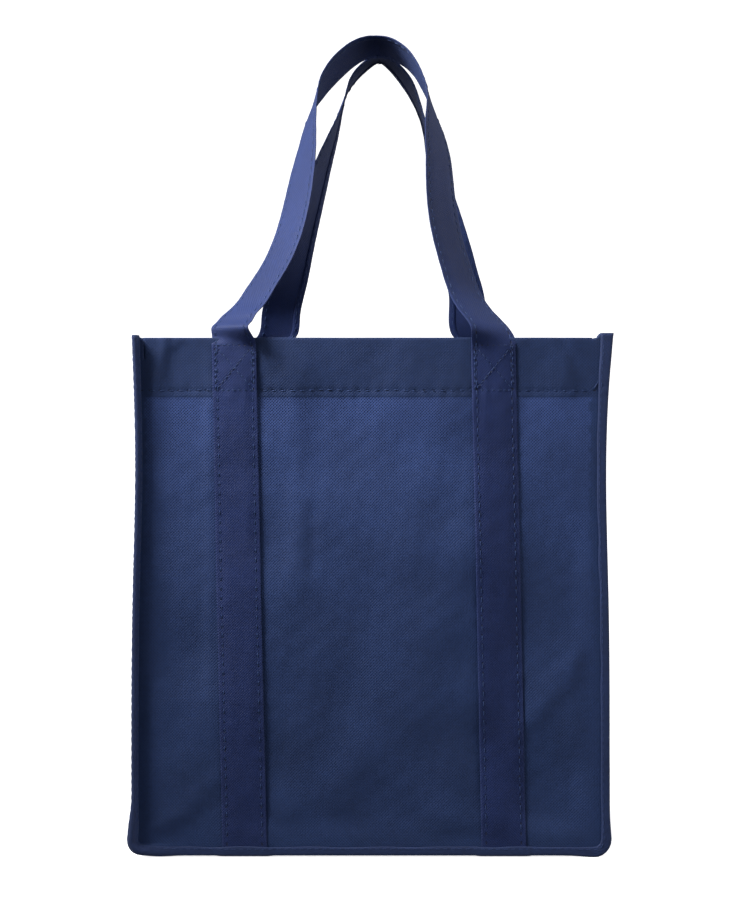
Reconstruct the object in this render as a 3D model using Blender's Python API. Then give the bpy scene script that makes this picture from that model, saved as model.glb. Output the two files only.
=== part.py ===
"""A grocery tote of nonwoven cloth: two panels, one gusset strip, two straps, taped seams, a base board.

Metres, +Z up, the bag stands on z = 0 with its front facing -Y. The rear half is the front half
turned by half a turn about +Z, apart from the set of its handle.
"""
import math

import bmesh
import bpy
import numpy as np

# Body, measured at the seams
BAG_WIDTH = 0.293
BAG_DEPTH = 0.203
BAG_HEIGHT = 0.330
CORNER_RADIUS = 0.003

# How the standing cloth departs from a box
WAIST = 0.0025
WAIST_HEIGHT = 0.250
WAIST_SPREAD = 0.080
BELLY = 0.006
SIDE_BULGE = 0.006
SIDE_BULGE_HEIGHT = 0.110
SIDE_BULGE_SPREAD = 0.070
SIDE_TUCK = 0.016

# Cloth, tape and the room between layers
CLOTH = 0.0005
TAPE = 0.00045
STRAP = 0.0009
GAP = 0.0003

# Hem and seam
HEM_DEPTH = 0.038
SEAM_ALLOWANCE = 0.006
TAPE_START = 0.0016
TURN_RADIUS = 0.0015
EAR = 0.002
EAR_RUN = 0.020
LEFT_FLANGE_ANGLE = math.radians(74.0)
FLANGE_TWIST_RUN = 0.012
TWIST_EASE = 0.0007

# The base strip drops from the seam to the floor over this stretch
DROP_START = 0.0020
DROP_END = 0.0110

# Straps
STRAP_WIDTH = 0.028
STRAP_SPACING = 0.1646
STRAP_LEAN = 0.007
FRONT_STRAP_SHIFT = -0.0027
REAR_STRAP_SHIFT = -0.0055
ROOT_RISE = 0.004
HANDLE_RISE = 0.197
HANDLE_LEAN = 0.0885
HANDLE_TILT = 0.38
TILT_START = 0.80
TILT_RUN = 0.18
TAPE_RAMP = 0.004

# Base board
BOARD_THICKNESS = 0.0025
BOARD_SIDE_ROOM = 0.0065
BOARD_FRONT_ROOM = 0.0010
BOARD_CORNER = 0.008

# Handle stations from the left root to the right root. Each row holds the distance out from the
# middle as a share of half the strap spacing, the way back as a share of the lean, the height as a
# share of the rise, and the turn of the strap's width in degrees, 0 flat and 90 edge on.
FRONT_HANDLE = [
    (1.00, 0.00, 0.00, 0),
    (1.01, -0.03, 0.045, 14),
    (0.93, 0.03, 0.10, 32),
    (0.79, 0.10, 0.17, 43),
    (0.58, 0.27, 0.36, 48),
    (0.50, 0.43, 0.54, 56),
    (0.43, 0.60, 0.71, 76),
    (0.34, 0.74, 0.84, 96),
    (0.16, 0.88, 0.945, 102),
    (-0.10, 1.00, 1.00, 90),
    (-0.32, 0.90, 0.955, 94),
    (-0.47, 0.76, 0.855, 93),
    (-0.55, 0.62, 0.72, 113),
    (-0.59, 0.45, 0.55, 130),
    (-0.68, 0.26, 0.32, 135),
    (-0.82, 0.10, 0.14, 139),
    (-0.97, -0.02, 0.05, 160),
    (-1.00, 0.00, 0.00, 180),
]
REAR_HANDLE = [
    (1.00, 0.00, 0.00, 0),
    (0.97, -0.02, 0.05, 6),
    (0.82, 0.17, 0.25, 24),
    (0.62, 0.36, 0.52, 48),
    (0.46, 0.54, 0.72, 70),
    (0.27, 0.74, 0.87, 86),
    (0.12, 0.90, 0.96, 90),
    (-0.02, 1.00, 1.00, 90),
    (-0.16, 0.90, 0.945, 90),
    (-0.28, 0.72, 0.82, 98),
    (-0.38, 0.56, 0.68, 118),
    (-0.50, 0.42, 0.52, 136),
    (-0.72, 0.22, 0.26, 162),
    (-0.92, -0.02, 0.06, 174),
    (-1.00, 0.00, 0.00, 180),
]

# Derived sizes
HALF_WIDTH = BAG_WIDTH / 2
HALF_DEPTH = BAG_DEPTH / 2
LAYER = GAP / 2 + CLOTH / 2
FOLD_RADIUS = (CLOTH + GAP) / 2
RIM = BAG_HEIGHT - CLOTH / 2 - FOLD_RADIUS
ROOT = BAG_HEIGHT + ROOT_RISE
STRAP_OFFSET = GAP / 2 + CLOTH + GAP + STRAP / 2
TAPE_OFFSET = GAP / 2 + CLOTH + GAP + TAPE / 2
TAPE_OVER_STRAP = STRAP + GAP
SEAM_HEIGHT = SEAM_ALLOWANCE + TAPE_OFFSET + TAPE_OVER_STRAP / 2 + TAPE / 2 + GAP
SAG = SEAM_HEIGHT - CLOTH / 2 - LAYER
SIDE_LENGTH = RIM - SEAM_HEIGHT - CORNER_RADIUS
CORNER_LENGTH = math.pi / 2 * CORNER_RADIUS
BASE_LENGTH = BAG_WIDTH - 2 * CORNER_RADIUS
SEAM_LENGTH = 2 * SIDE_LENGTH + 2 * CORNER_LENGTH + BASE_LENGTH

# How finely the sheets are divided. A seam's turn is read at this share of its radius each way.
SIDE_ROWS = 7
CORNER_STEPS = 4
BASE_COLUMNS = 10
HANDLE_STEPS = 46
TURN_SHARE = 0.78
TAPE_CLIMB_STEPS = (0.0, 0.33, 0.67, 1.0)
SIDE_MIDDLE_STEPS = (0.5, 1.0)
WELD = 1e-6


def smooth(t):
    """0 below 0, 1 above 1, and 3 t squared less 2 t cubed between."""
    t = np.clip(t, 0.0, 1.0)
    return t * t * (3.0 - 2.0 * t)


def bell(t):
    """0 at t = 0 and t = 1 with no slope, 1 in the middle: the squared sine of pi t."""
    return np.sin(np.pi * np.clip(t, 0.0, 1.0)) ** 2


def seam_half_width(z):
    """Half the width between the seams, drawn in a little round the waist height."""
    return HALF_WIDTH - WAIST * np.exp(-(((z - WAIST_HEIGHT) / WAIST_SPREAD) ** 2))


def seam_frame(s):
    """Where the seam line runs at the distance s from the front left rim, and which way it faces.

    Down the left side, round a corner arc, along the base, round the other corner and up the right
    side. Gives x, z, the outward direction in the panel's plane, and the share of the base.
    """
    s = np.asarray(s, float)
    corner_z = SEAM_HEIGHT + CORNER_RADIUS
    corner_x = HALF_WIDTH - CORNER_RADIUS
    first = np.clip((s - SIDE_LENGTH) / CORNER_LENGTH, 0.0, 1.0)
    second = np.clip((s - SIDE_LENGTH - CORNER_LENGTH - BASE_LENGTH) / CORNER_LENGTH, 0.0, 1.0)
    angle = (first + second) * math.pi / 2
    along_base = np.clip(s - SIDE_LENGTH - CORNER_LENGTH, 0.0, BASE_LENGTH)
    out_x = -np.cos(angle)
    out_z = -np.sin(angle)
    left_z = RIM - np.clip(s, 0.0, SIDE_LENGTH)
    right_z = RIM - np.clip(SEAM_LENGTH - s, 0.0, SIDE_LENGTH)
    z = np.where(s <= SEAM_LENGTH / 2, left_z, right_z) + CORNER_RADIUS * out_z
    x = -corner_x + along_base + CORNER_RADIUS * out_x
    waist = HALF_WIDTH - seam_half_width(z)
    x = x - np.sign(x) * waist
    share = smooth(first) * (1.0 - smooth(second))
    return {"x": x, "z": z, "out_x": out_x, "out_z": out_z, "base": share}


def twist_share(s):
    """0 before the bottom left corner, 1 past it: how far the allowance has twisted downwards."""
    end = SIDE_LENGTH + CORNER_LENGTH + FLANGE_TWIST_RUN
    start = SIDE_LENGTH - FLANGE_TWIST_RUN
    return np.clip((np.asarray(s, float) - start) / (end - start), 0.0, 1.0)


def flange_angle(s):
    """How far the seam allowance is turned forward out of the panel's plane: only at the left."""
    return LEFT_FLANGE_ANGLE * (1.0 - smooth(twist_share(s)))


def twist_ease(s):
    """How much further the layers stand apart where the allowance twists and bunches."""
    return TWIST_EASE * bell(twist_share(s))


def turn(run, offset, angle):
    """A layer that runs straight, turns by angle about TURN_RADIUS, and runs straight on.

    run is the distance along the middle line from the middle of the turn; offset is the layer's
    distance from that line towards the inside of the turn. Gives the distance along the first
    straight from the corner point, and the distance across it.
    """
    half = TURN_RADIUS * angle / 2
    tangent = TURN_RADIUS * np.tan(angle / 2)
    turned = np.clip((run + half) / TURN_RADIUS, 0.0, angle)
    before = np.minimum(run + half, 0.0)
    after = np.maximum(run - half, 0.0)
    along = -tangent + before + TURN_RADIUS * np.sin(turned) + after * np.cos(angle)
    across = TURN_RADIUS * (1.0 - np.cos(turned)) + after * np.sin(angle)
    return along - offset * np.sin(turned), across + offset * np.cos(turned)


def straight_run(distance, angle):
    """The run at which a layer is the given distance past the corner point of its turn."""
    return distance - TURN_RADIUS * np.tan(angle / 2) + TURN_RADIUS * angle / 2


def at_seam(frame, outward, forward, angle):
    """World points of the front half from distances outward and forward of the seam line.

    Past the seam the top edge of the allowance rises into a small ear at the rim.
    """
    reach = outward * np.cos(angle) + forward * np.sin(angle)
    rim_share = smooth((frame["z"] - RIM + EAR_RUN) / EAR_RUN)
    ear = EAR * np.clip((reach - TURN_RADIUS) / SEAM_ALLOWANCE, 0.0, 1.0) * rim_share
    x = frame["x"] + frame["out_x"] * outward
    y = -HALF_DEPTH - forward
    z = frame["z"] + frame["out_z"] * outward + ear
    return np.stack(np.broadcast_arrays(x, y, z), axis=-1)


def turn_round(points):
    """Half a turn about +Z, from the front of the bag to its rear."""
    return points * np.array([-1.0, -1.0, 1.0])


def column(frame):
    """The same frame with its arrays stood up, so that they meet a row of profile values."""
    return {name: values[:, None] for name, values in frame.items()}


def side_steps():
    """Distances down a side from the rim, closer together where the allowance twists."""
    even = np.linspace(0.0, SIDE_LENGTH - FLANGE_TWIST_RUN, SIDE_ROWS + 1)
    return np.concatenate([even, [SIDE_LENGTH - FLANGE_TWIST_RUN / 2, SIDE_LENGTH]])


def base_steps():
    """Distances along the base from the left corner arc, closer together near both arcs."""
    even = np.linspace(FLANGE_TWIST_RUN, BASE_LENGTH - FLANGE_TWIST_RUN, BASE_COLUMNS + 1)
    first = np.array([0.0, FLANGE_TWIST_RUN / 2])
    return np.concatenate([first, even, BASE_LENGTH - first[::-1]])


def seam_stations():
    """Distances along the whole seam at which the sheets are divided."""
    corner = SIDE_LENGTH + np.linspace(0.0, CORNER_LENGTH, CORNER_STEPS + 1)[1:]
    left = np.concatenate([side_steps(), corner])
    base = SIDE_LENGTH + CORNER_LENGTH + base_steps()[1:-1]
    return np.concatenate([left, base, SEAM_LENGTH - left[::-1]])


def belly(x, z):
    """How far a panel swells: a bell across its width times a bell up its height."""
    inner = seam_half_width(z) - CORNER_RADIUS
    across = (x + inner) / (2 * inner)
    up = (z - SEAM_HEIGHT - CORNER_RADIUS) / SIDE_LENGTH
    return BELLY * bell(across) * bell(up)


def link(name, mesh):
    """Put a mesh into the scene as an object of that name."""
    built = bpy.data.objects.new(name, mesh)
    bpy.context.scene.collection.objects.link(built)
    return built


def finish(name, colour, roughness):
    """One cloth or board material: colour, roughness and no metal."""
    material = bpy.data.materials.new(name)
    material.use_nodes = True
    shader = material.node_tree.nodes["Principled BSDF"]
    shader.inputs["Base Color"].default_value = (*colour, 1.0)
    shader.inputs["Roughness"].default_value = roughness
    shader.inputs["Metallic"].default_value = 0.0
    return material


def sheet(name, patches, thickness, material):
    """One cloth piece: its patches welded along their shared edges and given their thickness."""
    mesh = bpy.data.meshes.new(name)
    shape = bmesh.new()
    for points in patches:
        rows, columns = points.shape[:2]
        made = [[shape.verts.new(points[i, j]) for j in range(columns)] for i in range(rows)]
        for i in range(rows - 1):
            for j in range(columns - 1):
                shape.faces.new((made[i][j], made[i][j + 1], made[i + 1][j + 1], made[i + 1][j]))
    bmesh.ops.remove_doubles(shape, verts=shape.verts, dist=WELD)
    bmesh.ops.recalc_face_normals(shape, faces=shape.faces)
    shape.to_mesh(mesh)
    shape.free()
    mesh.shade_smooth()
    mesh.materials.append(material)
    piece = link(name, mesh)
    wall = piece.modifiers.new("thickness", "SOLIDIFY")
    wall.thickness = thickness
    wall.offset = 0.0
    wall.use_even_offset = True
    return piece


def hem_profile():
    """Inward and upward distances of a hem from the rim row: half round, then down to its edge."""
    round_angle = np.linspace(0.0, math.pi, 5)
    inward = FOLD_RADIUS * (1.0 - np.cos(round_angle))
    upward = FOLD_RADIUS * np.sin(round_angle)
    down = -np.linspace(0.0, HEM_DEPTH - FOLD_RADIUS, 3)[1:]
    inward = np.concatenate([inward, np.full(down.size, 2 * FOLD_RADIUS)])
    return inward, np.concatenate([upward, down])


def panel_patches():
    """The front panel: a flat field with its belly, the seam ribbon round it, and the hem."""
    stations = seam_stations()
    heights = RIM - side_steps()[:, None]
    shares = 2.0 * base_steps()[None, :] / BASE_LENGTH - 1.0
    x = shares * (seam_half_width(heights) - CORNER_RADIUS)
    y = -HALF_DEPTH - LAYER - belly(x, heights)
    field = np.stack(np.broadcast_arrays(x, y, heights), axis=-1)

    frame = column(seam_frame(stations))
    angle = flange_angle(stations)[:, None]
    start = straight_run(0.0, angle)
    bend = TURN_SHARE * TURN_RADIUS
    runs = np.concatenate([
        -CORNER_RADIUS - start,
        np.broadcast_to([-bend, 0.0, bend], (stations.size, 3)),
        SEAM_ALLOWANCE + start,
    ], axis=1)
    offset = LAYER + twist_ease(stations)[:, None] * np.array([0.0, 0.5, 1.0, 1.0, 1.0])
    outward, forward = turn(runs, offset, angle)
    ribbon = at_seam(frame, outward, forward, angle)

    inward, upward = hem_profile()
    rim_x = shares * (seam_half_width(RIM) - CORNER_RADIUS)
    hem = np.stack(np.broadcast_arrays(
        rim_x, -HALF_DEPTH - LAYER + inward[:, None], RIM + upward[:, None]), axis=-1)
    return [field, ribbon, hem]


def side_shape(frame, inward):
    """How far the gusset stands outside the seam line, at a distance inward from the front panel.

    The base drops to the floor within a short stretch. The sides swell low down and are drawn in
    along their middle towards the rim.
    """
    rise = smooth((np.minimum(inward, BAG_DEPTH - inward) - DROP_START) / (DROP_END - DROP_START))
    round_share = np.sin(math.pi * np.clip(inward / BAG_DEPTH, 0.0, 1.0))
    crease = 1.0 - np.abs(2.0 * inward / BAG_DEPTH - 1.0)
    swell = np.exp(-(((frame["z"] - SIDE_BULGE_HEIGHT) / SIDE_BULGE_SPREAD) ** 2))
    height_share = np.clip(frame["z"] / BAG_HEIGHT, 0.0, 1.0)
    side = SIDE_BULGE * swell * round_share - SIDE_TUCK * height_share ** 2 * crease
    return rise * (frame["base"] * SAG + (1.0 - frame["base"]) * side)


def gusset_edge(stations, angle):
    """Seam allowance and turn of the gusset along the front seam, from its raw edge inwards."""
    turned = math.pi / 2 - angle
    start = straight_run(0.0, turned)
    bend = TURN_SHARE * TURN_RADIUS
    runs = np.concatenate([
        SEAM_ALLOWANCE + start,
        np.broadcast_to([bend, 0.0, -bend], (stations.size, 3)),
    ], axis=1)
    offset = LAYER + twist_ease(stations)[:, None] * np.array([1.0, 1.0, 1.0, 0.5])
    forward, outward = turn(runs, offset, turned)
    return at_seam(column(seam_frame(stations)), outward, forward, angle)


def gusset_across():
    """Distances inward from the front panel at which the gusset is divided."""
    drop = np.linspace(DROP_START, DROP_END, 4)
    middle = np.array(SIDE_MIDDLE_STEPS) * HALF_DEPTH
    front = np.concatenate([drop, middle])
    return np.concatenate([front, BAG_DEPTH - front[-2::-1]])


def gusset_patches():
    """The strip that makes both sides and the base, with an allowance at each long edge."""
    stations = seam_stations()
    frame = column(seam_frame(stations))
    front_angle = flange_angle(stations)[:, None]
    rear_angle = flange_angle(SEAM_LENGTH - stations)[:, None]
    across = gusset_across()[None, :]
    outward = LAYER + side_shape(frame, across)
    body = at_seam(frame, outward, -across, math.pi / 2)
    front = gusset_edge(stations, front_angle)
    rear = turn_round(gusset_edge(SEAM_LENGTH - stations, rear_angle))[:, ::-1]
    strip = np.concatenate([front, body, rear], axis=1)

    inward, upward = hem_profile()
    patches = [strip]
    for station in (0.0, SEAM_LENGTH):
        rim = column(seam_frame(np.array([station])))
        inside = (across >= DROP_START + WELD) & (across <= BAG_DEPTH - DROP_START - WELD)
        kept = across[inside][None, :]
        out = LAYER + side_shape(rim, kept) - inward[:, None]
        x = rim["x"] + rim["out_x"] * out
        y = -HALF_DEPTH + kept
        patches.append(np.stack(np.broadcast_arrays(x, y, RIM + upward[:, None]), axis=-1))
    return patches


def strap_centre(z, side, shift):
    """Where a strap's middle lies across the panel: it leans to +X on its way down."""
    return shift + side * STRAP_SPACING / 2 + STRAP_LEAN * (BAG_HEIGHT - z) / BAG_HEIGHT


def strap_cover(x, shift):
    """1 where a strap end lies in the base seam, easing to 0 over the tape's ramp."""
    cover = np.zeros_like(x)
    for side in (-1, 1):
        beyond = np.abs(x - strap_centre(SEAM_HEIGHT, side, shift)) - STRAP_WIDTH / 2 - 2 * GAP
        cover = np.maximum(cover, 1.0 - smooth(beyond / TAPE_RAMP))
    return cover


def tape_stations(shift):
    """Distances along the seam for the tape, with extra ones where it climbs over a strap end."""
    extra = []
    for side in (-1, 1):
        centre = strap_centre(SEAM_HEIGHT, side, shift) + HALF_WIDTH - CORNER_RADIUS
        for reach in TAPE_CLIMB_STEPS:
            edge = STRAP_WIDTH / 2 + 2 * GAP + reach * TAPE_RAMP
            extra += [centre - edge, centre + edge]
    climbs = SIDE_LENGTH + CORNER_LENGTH + np.array(extra)
    plain = seam_stations()
    apart = np.abs(plain[:, None] - climbs[None, :]).min(axis=1)
    return np.sort(np.concatenate([plain[apart > TAPE_RAMP], climbs]))


def tape_patches(shift):
    """The binding: up one face of the allowance, half round its edge and down the other face."""
    stations = tape_stations(shift)
    frame = column(seam_frame(stations))
    angle = flange_angle(stations)[:, None]
    on_base = frame["base"] > 0.999
    rear = TAPE_OFFSET + 2 * twist_ease(stations)[:, None]
    front = rear + TAPE_OVER_STRAP * strap_cover(frame["x"], shift) * on_base
    middle = (front - rear) / 2
    radius = (front + rear) / 2
    round_angle = np.linspace(-math.pi / 2, math.pi / 2, 5)[None, :]
    reach = np.concatenate([
        np.full((stations.size, 1), TAPE_START),
        SEAM_ALLOWANCE + radius * np.cos(round_angle),
        np.full((stations.size, 1), TAPE_START),
    ], axis=1)
    across = np.concatenate([-rear, middle + radius * np.sin(round_angle), front], axis=1)
    outward = reach * np.cos(angle) - across * np.sin(angle)
    forward = reach * np.sin(angle) + across * np.cos(angle)
    return [at_seam(frame, outward, forward, angle)]


def cubic_through(points, count):
    """A natural cubic curve through the rows of points, read at count even steps of its length."""
    steps = np.linalg.norm(np.diff(points[:, :3], axis=0), axis=1)
    knots = np.concatenate([[0.0], np.cumsum(steps)])
    size = len(points)
    matrix = np.zeros((size, size))
    right = np.zeros((size, points.shape[1]))
    matrix[0, 0] = matrix[-1, -1] = 1.0
    for i in range(1, size - 1):
        matrix[i, i - 1: i + 2] = steps[i - 1], 2 * (steps[i - 1] + steps[i]), steps[i]
        right[i] = 6 * ((points[i + 1] - points[i]) / steps[i] - (points[i] - points[i - 1]) / steps[i - 1])
    bend = np.linalg.solve(matrix, right)
    at = np.linspace(0.0, knots[-1], count)
    i = np.clip(np.searchsorted(knots, at, side="right") - 1, 0, size - 2)
    h = steps[i][:, None]
    b = ((at - knots[i]) / steps[i])[:, None]
    a = 1.0 - b
    curve = a * points[i] + b * points[i + 1]
    return curve + ((a ** 3 - a) * bend[i] + (b ** 3 - b) * bend[i + 1]) * h ** 2 / 6


def handle_curve(stations, shift):
    """Centre line and strap turn of the handle, from the left root over to the right root."""
    rows = np.array(stations, float)
    x = shift - rows[:, 0] * STRAP_SPACING / 2
    y = -HALF_DEPTH - STRAP_OFFSET + rows[:, 1] * HANDLE_LEAN
    z = ROOT + rows[:, 2] * HANDLE_RISE
    curve = cubic_through(np.stack([x, y, z, np.radians(rows[:, 3])], axis=1), HANDLE_STEPS + 1)
    return curve[:, :3], curve[:, 3]


def strap_patches(stations, shift):
    """One doubled strip: up the front, over as the handle, and down the front again."""
    shares = np.array([-0.5, 0.0, 0.5])[None, :]
    low = np.array([SEAM_HEIGHT - SEAM_ALLOWANCE, SEAM_HEIGHT])
    rows = np.concatenate([low, RIM - side_steps()[::-1], [BAG_HEIGHT]])[:, None]
    legs = []
    for side in (-1, 1):
        x = strap_centre(rows, side, shift) - side * shares * STRAP_WIDTH
        y = -HALF_DEPTH - STRAP_OFFSET - belly(x, rows)
        legs.append(np.stack(np.broadcast_arrays(x, y, rows), axis=-1))

    centre, twist = handle_curve(stations, shift)
    ahead = np.gradient(centre, axis=0)
    ahead[0] = (0.0, 0.0, 1.0)
    ahead[-1] = (0.0, 0.0, -1.0)
    ahead /= np.linalg.norm(ahead, axis=1)[:, None]
    rise = (centre[:, 2] - ROOT) / HANDLE_RISE
    lift = HANDLE_TILT * smooth((rise - TILT_START) / TILT_RUN)
    width = np.stack([np.cos(twist), -np.sin(twist), lift], axis=1)
    width -= (width * ahead).sum(axis=1)[:, None] * ahead
    width /= np.linalg.norm(width, axis=1)[:, None]
    loop = centre[:, None, :] + shares[..., None] * STRAP_WIDTH * width[:, None, :]
    return [np.concatenate([legs[0], loop, legs[1][::-1]], axis=0)]


def base_board():
    """The loose stiffener on the base: a plate with rounded corners."""
    length = BAG_WIDTH - 2 * BOARD_SIDE_ROOM
    depth = BAG_DEPTH - 2 * (DROP_END + BOARD_FRONT_ROOM)
    shape = bmesh.new()
    bmesh.ops.create_cube(shape, size=1.0)
    bmesh.ops.scale(shape, vec=(length, depth, BOARD_THICKNESS), verts=shape.verts)
    upright = [e for e in shape.edges if abs(e.verts[0].co.z - e.verts[1].co.z) > BOARD_THICKNESS / 2]
    bmesh.ops.bevel(shape, geom=upright, offset=BOARD_CORNER, segments=6, profile=0.5, affect="EDGES")
    mesh = bpy.data.meshes.new("base_board")
    shape.to_mesh(mesh)
    shape.free()
    mesh.materials.append(finish("base_board", (0.035, 0.036, 0.040), 0.6))
    board = link("base_board", mesh)
    board.location = (0.0, 0.0, CLOTH + GAP + BOARD_THICKNESS / 2)
    return board


def build():
    """Remove what the scene holds and make every piece of the bag."""
    for old in list(bpy.data.objects):
        bpy.data.objects.remove(old, do_unlink=True)
    panel_cloth = finish("panel_cloth", (0.034, 0.050, 0.125), 0.75)
    gusset_cloth = finish("gusset_cloth", (0.030, 0.044, 0.112), 0.75)
    strap_cloth = finish("strap_cloth", (0.032, 0.040, 0.105), 0.70)
    tape_cloth = finish("tape_cloth", (0.030, 0.036, 0.080), 0.70)
    rear_panel = [turn_round(patch) for patch in panel_patches()]
    rear_strap = [turn_round(patch) for patch in strap_patches(REAR_HANDLE, REAR_STRAP_SHIFT)]
    rear_tape = [turn_round(patch) for patch in tape_patches(REAR_STRAP_SHIFT)]
    sheet("front_panel", panel_patches(), CLOTH, panel_cloth)
    sheet("rear_panel", rear_panel, CLOTH, panel_cloth)
    sheet("gusset", gusset_patches(), CLOTH, gusset_cloth)
    sheet("front_strap", strap_patches(FRONT_HANDLE, FRONT_STRAP_SHIFT), STRAP, strap_cloth)
    sheet("rear_strap", rear_strap, STRAP, strap_cloth)
    sheet("front_binding", tape_patches(FRONT_STRAP_SHIFT), TAPE, tape_cloth)
    sheet("rear_binding", rear_tape, TAPE, tape_cloth)
    base_board()


build()
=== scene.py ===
# %% [markdown]
# # A grocery tote of nonwoven cloth
#
# The bag is one soft object: two panels, one strip that makes both sides and the base, two long
# straps, and a tape folded over each seam. Everything here is sewn round the same seam line, so
# the lesson works that line out once and hangs each sheet on it.

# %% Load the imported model
import math

import bmesh
import bpy
import numpy as np
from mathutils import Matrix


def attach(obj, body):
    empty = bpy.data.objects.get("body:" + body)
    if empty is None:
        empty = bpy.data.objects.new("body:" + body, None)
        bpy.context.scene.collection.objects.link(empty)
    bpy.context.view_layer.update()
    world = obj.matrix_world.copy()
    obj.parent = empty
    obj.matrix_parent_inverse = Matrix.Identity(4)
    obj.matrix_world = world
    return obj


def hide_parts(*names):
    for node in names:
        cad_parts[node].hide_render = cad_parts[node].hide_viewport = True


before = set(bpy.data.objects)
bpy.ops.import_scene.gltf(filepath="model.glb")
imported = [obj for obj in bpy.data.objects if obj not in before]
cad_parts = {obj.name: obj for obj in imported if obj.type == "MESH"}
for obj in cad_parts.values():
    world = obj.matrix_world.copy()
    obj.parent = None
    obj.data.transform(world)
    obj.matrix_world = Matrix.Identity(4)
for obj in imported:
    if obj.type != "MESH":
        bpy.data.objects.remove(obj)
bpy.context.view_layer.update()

# %% [markdown]
# The bag was photographed from straight ahead with a long lens: the top edge and the base look
# level, and nothing of the inside shows. The camera stands level at the height where the eye line
# falls on the panel, and its lens is worked out from the width that the frame shows at the panel.

# %% Camera
EYE_X, EYE_HEIGHT, EYE_DISTANCE = 0.0046, 0.2586, 1.400
SENSOR, FRAME_WIDTH = 36.0, 0.4766

lens_data = bpy.data.cameras.new("view")
lens_data.sensor_fit = "HORIZONTAL"
lens_data.sensor_width = SENSOR
lens_data.lens = SENSOR * EYE_DISTANCE / FRAME_WIDTH
camera = bpy.data.objects.new("view", lens_data)
camera.location = (EYE_X, -0.1015 - EYE_DISTANCE, EYE_HEIGHT)
camera.rotation_euler = (math.radians(90.0), 0.0, 0.0)
bpy.context.scene.collection.objects.link(camera)
bpy.context.scene.camera = camera
print("lens", round(lens_data.lens, 1), "mm")

# %% [markdown]
# A studio sweep is a floor that curves up into a wall without a corner, so no line shows behind
# the bag. This one is round, so that it looks the same from every side: one profile, flat, then a
# quarter circle, then straight up, turned about the upright axis. The paper is pale to the eye but
# throws no light back on the dark cloth, as a photographer gets by lighting it on its own.

# %% Studio sweep
SWEEP_FLOOR, SWEEP_HEIGHT, SWEEP_RADIUS = 2.4, 4.0, 0.9
PAPER_TONES, PAPER_GLOW = (0.88, 0.92), 0.80


def smooth(t):
    """0 below 0, 1 above 1, and 3 t squared less 2 t cubed between."""
    t = np.clip(t, 0.0, 1.0)
    return t * t * (3.0 - 2.0 * t)


def bell(t):
    """0 at t = 0 and t = 1 with no slope, 1 in the middle: the squared sine of pi t."""
    return np.sin(np.pi * np.clip(t, 0.0, 1.0)) ** 2


def hump(t, width):
    """1 at t = 0, fading on both sides: e to the power of minus the square of t over the width."""
    return np.exp(-((t / width) ** 2))


def grid_faces(rows, columns, start=0):
    """Corner numbers of the squares of a grid whose points are numbered row by row."""
    index = start + np.arange(rows * columns).reshape(rows, columns)
    corners = (index[:-1, :-1], index[:-1, 1:], index[1:, 1:], index[1:, :-1])
    return np.stack(corners, axis=-1).reshape(-1, 4)


def link(name, mesh):
    """Put a mesh into the scene as an object of that name."""
    built = bpy.data.objects.new(name, mesh)
    bpy.context.scene.collection.objects.link(built)
    return built


def studio_sweep(floor, height, radius):
    """Floor, quarter circle and wall: (distance, z) along the profile, at every angle round."""
    bend = np.linspace(0.0, math.pi / 2, 24)
    out = np.concatenate([[0.0, floor / 2], floor + radius * np.sin(bend), [floor + radius]])[:, None]
    z = np.concatenate([[0.0, 0.0], radius * (1.0 - np.cos(bend)), [height]])[:, None]
    angle = np.linspace(0.0, 2.0 * math.pi, 97)[None, :]
    points = np.stack(np.broadcast_arrays(out * np.cos(angle), out * np.sin(angle), z), axis=-1)
    mesh = bpy.data.meshes.new("studio_sweep")
    mesh.from_pydata(points.reshape(-1, 3), [], grid_faces(*points.shape[:2]))
    shape = bmesh.new()
    shape.from_mesh(mesh)
    bmesh.ops.remove_doubles(shape, verts=shape.verts, dist=1e-5)
    shape.to_mesh(mesh)
    shape.free()
    mesh.shade_smooth()
    paper = link("studio_sweep", mesh)
    paper.visible_diffuse = paper.visible_glossy = paper.visible_shadow = False
    return paper


def studio_finish():
    """Matt white paper with the faintest mottle, lit a little from within so that it stays pale."""
    material = bpy.data.materials.new("studio_paper")
    material.use_nodes = True
    nodes, links = material.node_tree.nodes, material.node_tree.links
    shader = nodes["Principled BSDF"]
    place = nodes.new("ShaderNodeTexCoord")
    mottle = nodes.new("ShaderNodeTexNoise")
    mottle.inputs["Scale"].default_value = 3.0
    tone = nodes.new("ShaderNodeMapRange")
    tone.inputs["To Min"].default_value, tone.inputs["To Max"].default_value = PAPER_TONES
    links.new(place.outputs["Object"], mottle.inputs["Vector"])
    links.new(mottle.outputs["Fac"], tone.inputs["Value"])
    links.new(tone.outputs["Result"], shader.inputs["Base Color"])
    shader.inputs["Roughness"].default_value = 0.9
    shader.inputs["Emission Color"].default_value = (1.0, 1.0, 1.0, 1.0)
    shader.inputs["Emission Strength"].default_value = PAPER_GLOW
    return material


sweep = studio_sweep(SWEEP_FLOOR, SWEEP_HEIGHT, SWEEP_RADIUS)
sweep.data.materials.append(studio_finish())
print("sweep of", len(sweep.data.polygons), "faces")

# %% [markdown]
# Tall soft boxes stand to the left and right of the bag and little light comes from straight ahead,
# so the panel is deep in tone while the handles, which turn sideways, catch light. The boxes are
# part of the surround: its brightness is a function of the direction. One white spot from the upper
# left lifts the left handle and the left end of the rim, and falls off towards the base.

# %% Lights
SURROUND_FRONT, SURROUND_SIDE, SURROUND_TOP, SURROUND_BELOW = 0.105, 1.75, 0.45, 0.74
KEY_PLACE, KEY_TARGET = (-0.68, -0.38, 1.02), (-0.12, -0.09, 0.47)
KEY_POWER, KEY_CONE, KEY_RADIUS = 110.0, 50.0, 0.18
LEFT_HANDLE = (-0.09, -0.09, 0.42)


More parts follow.
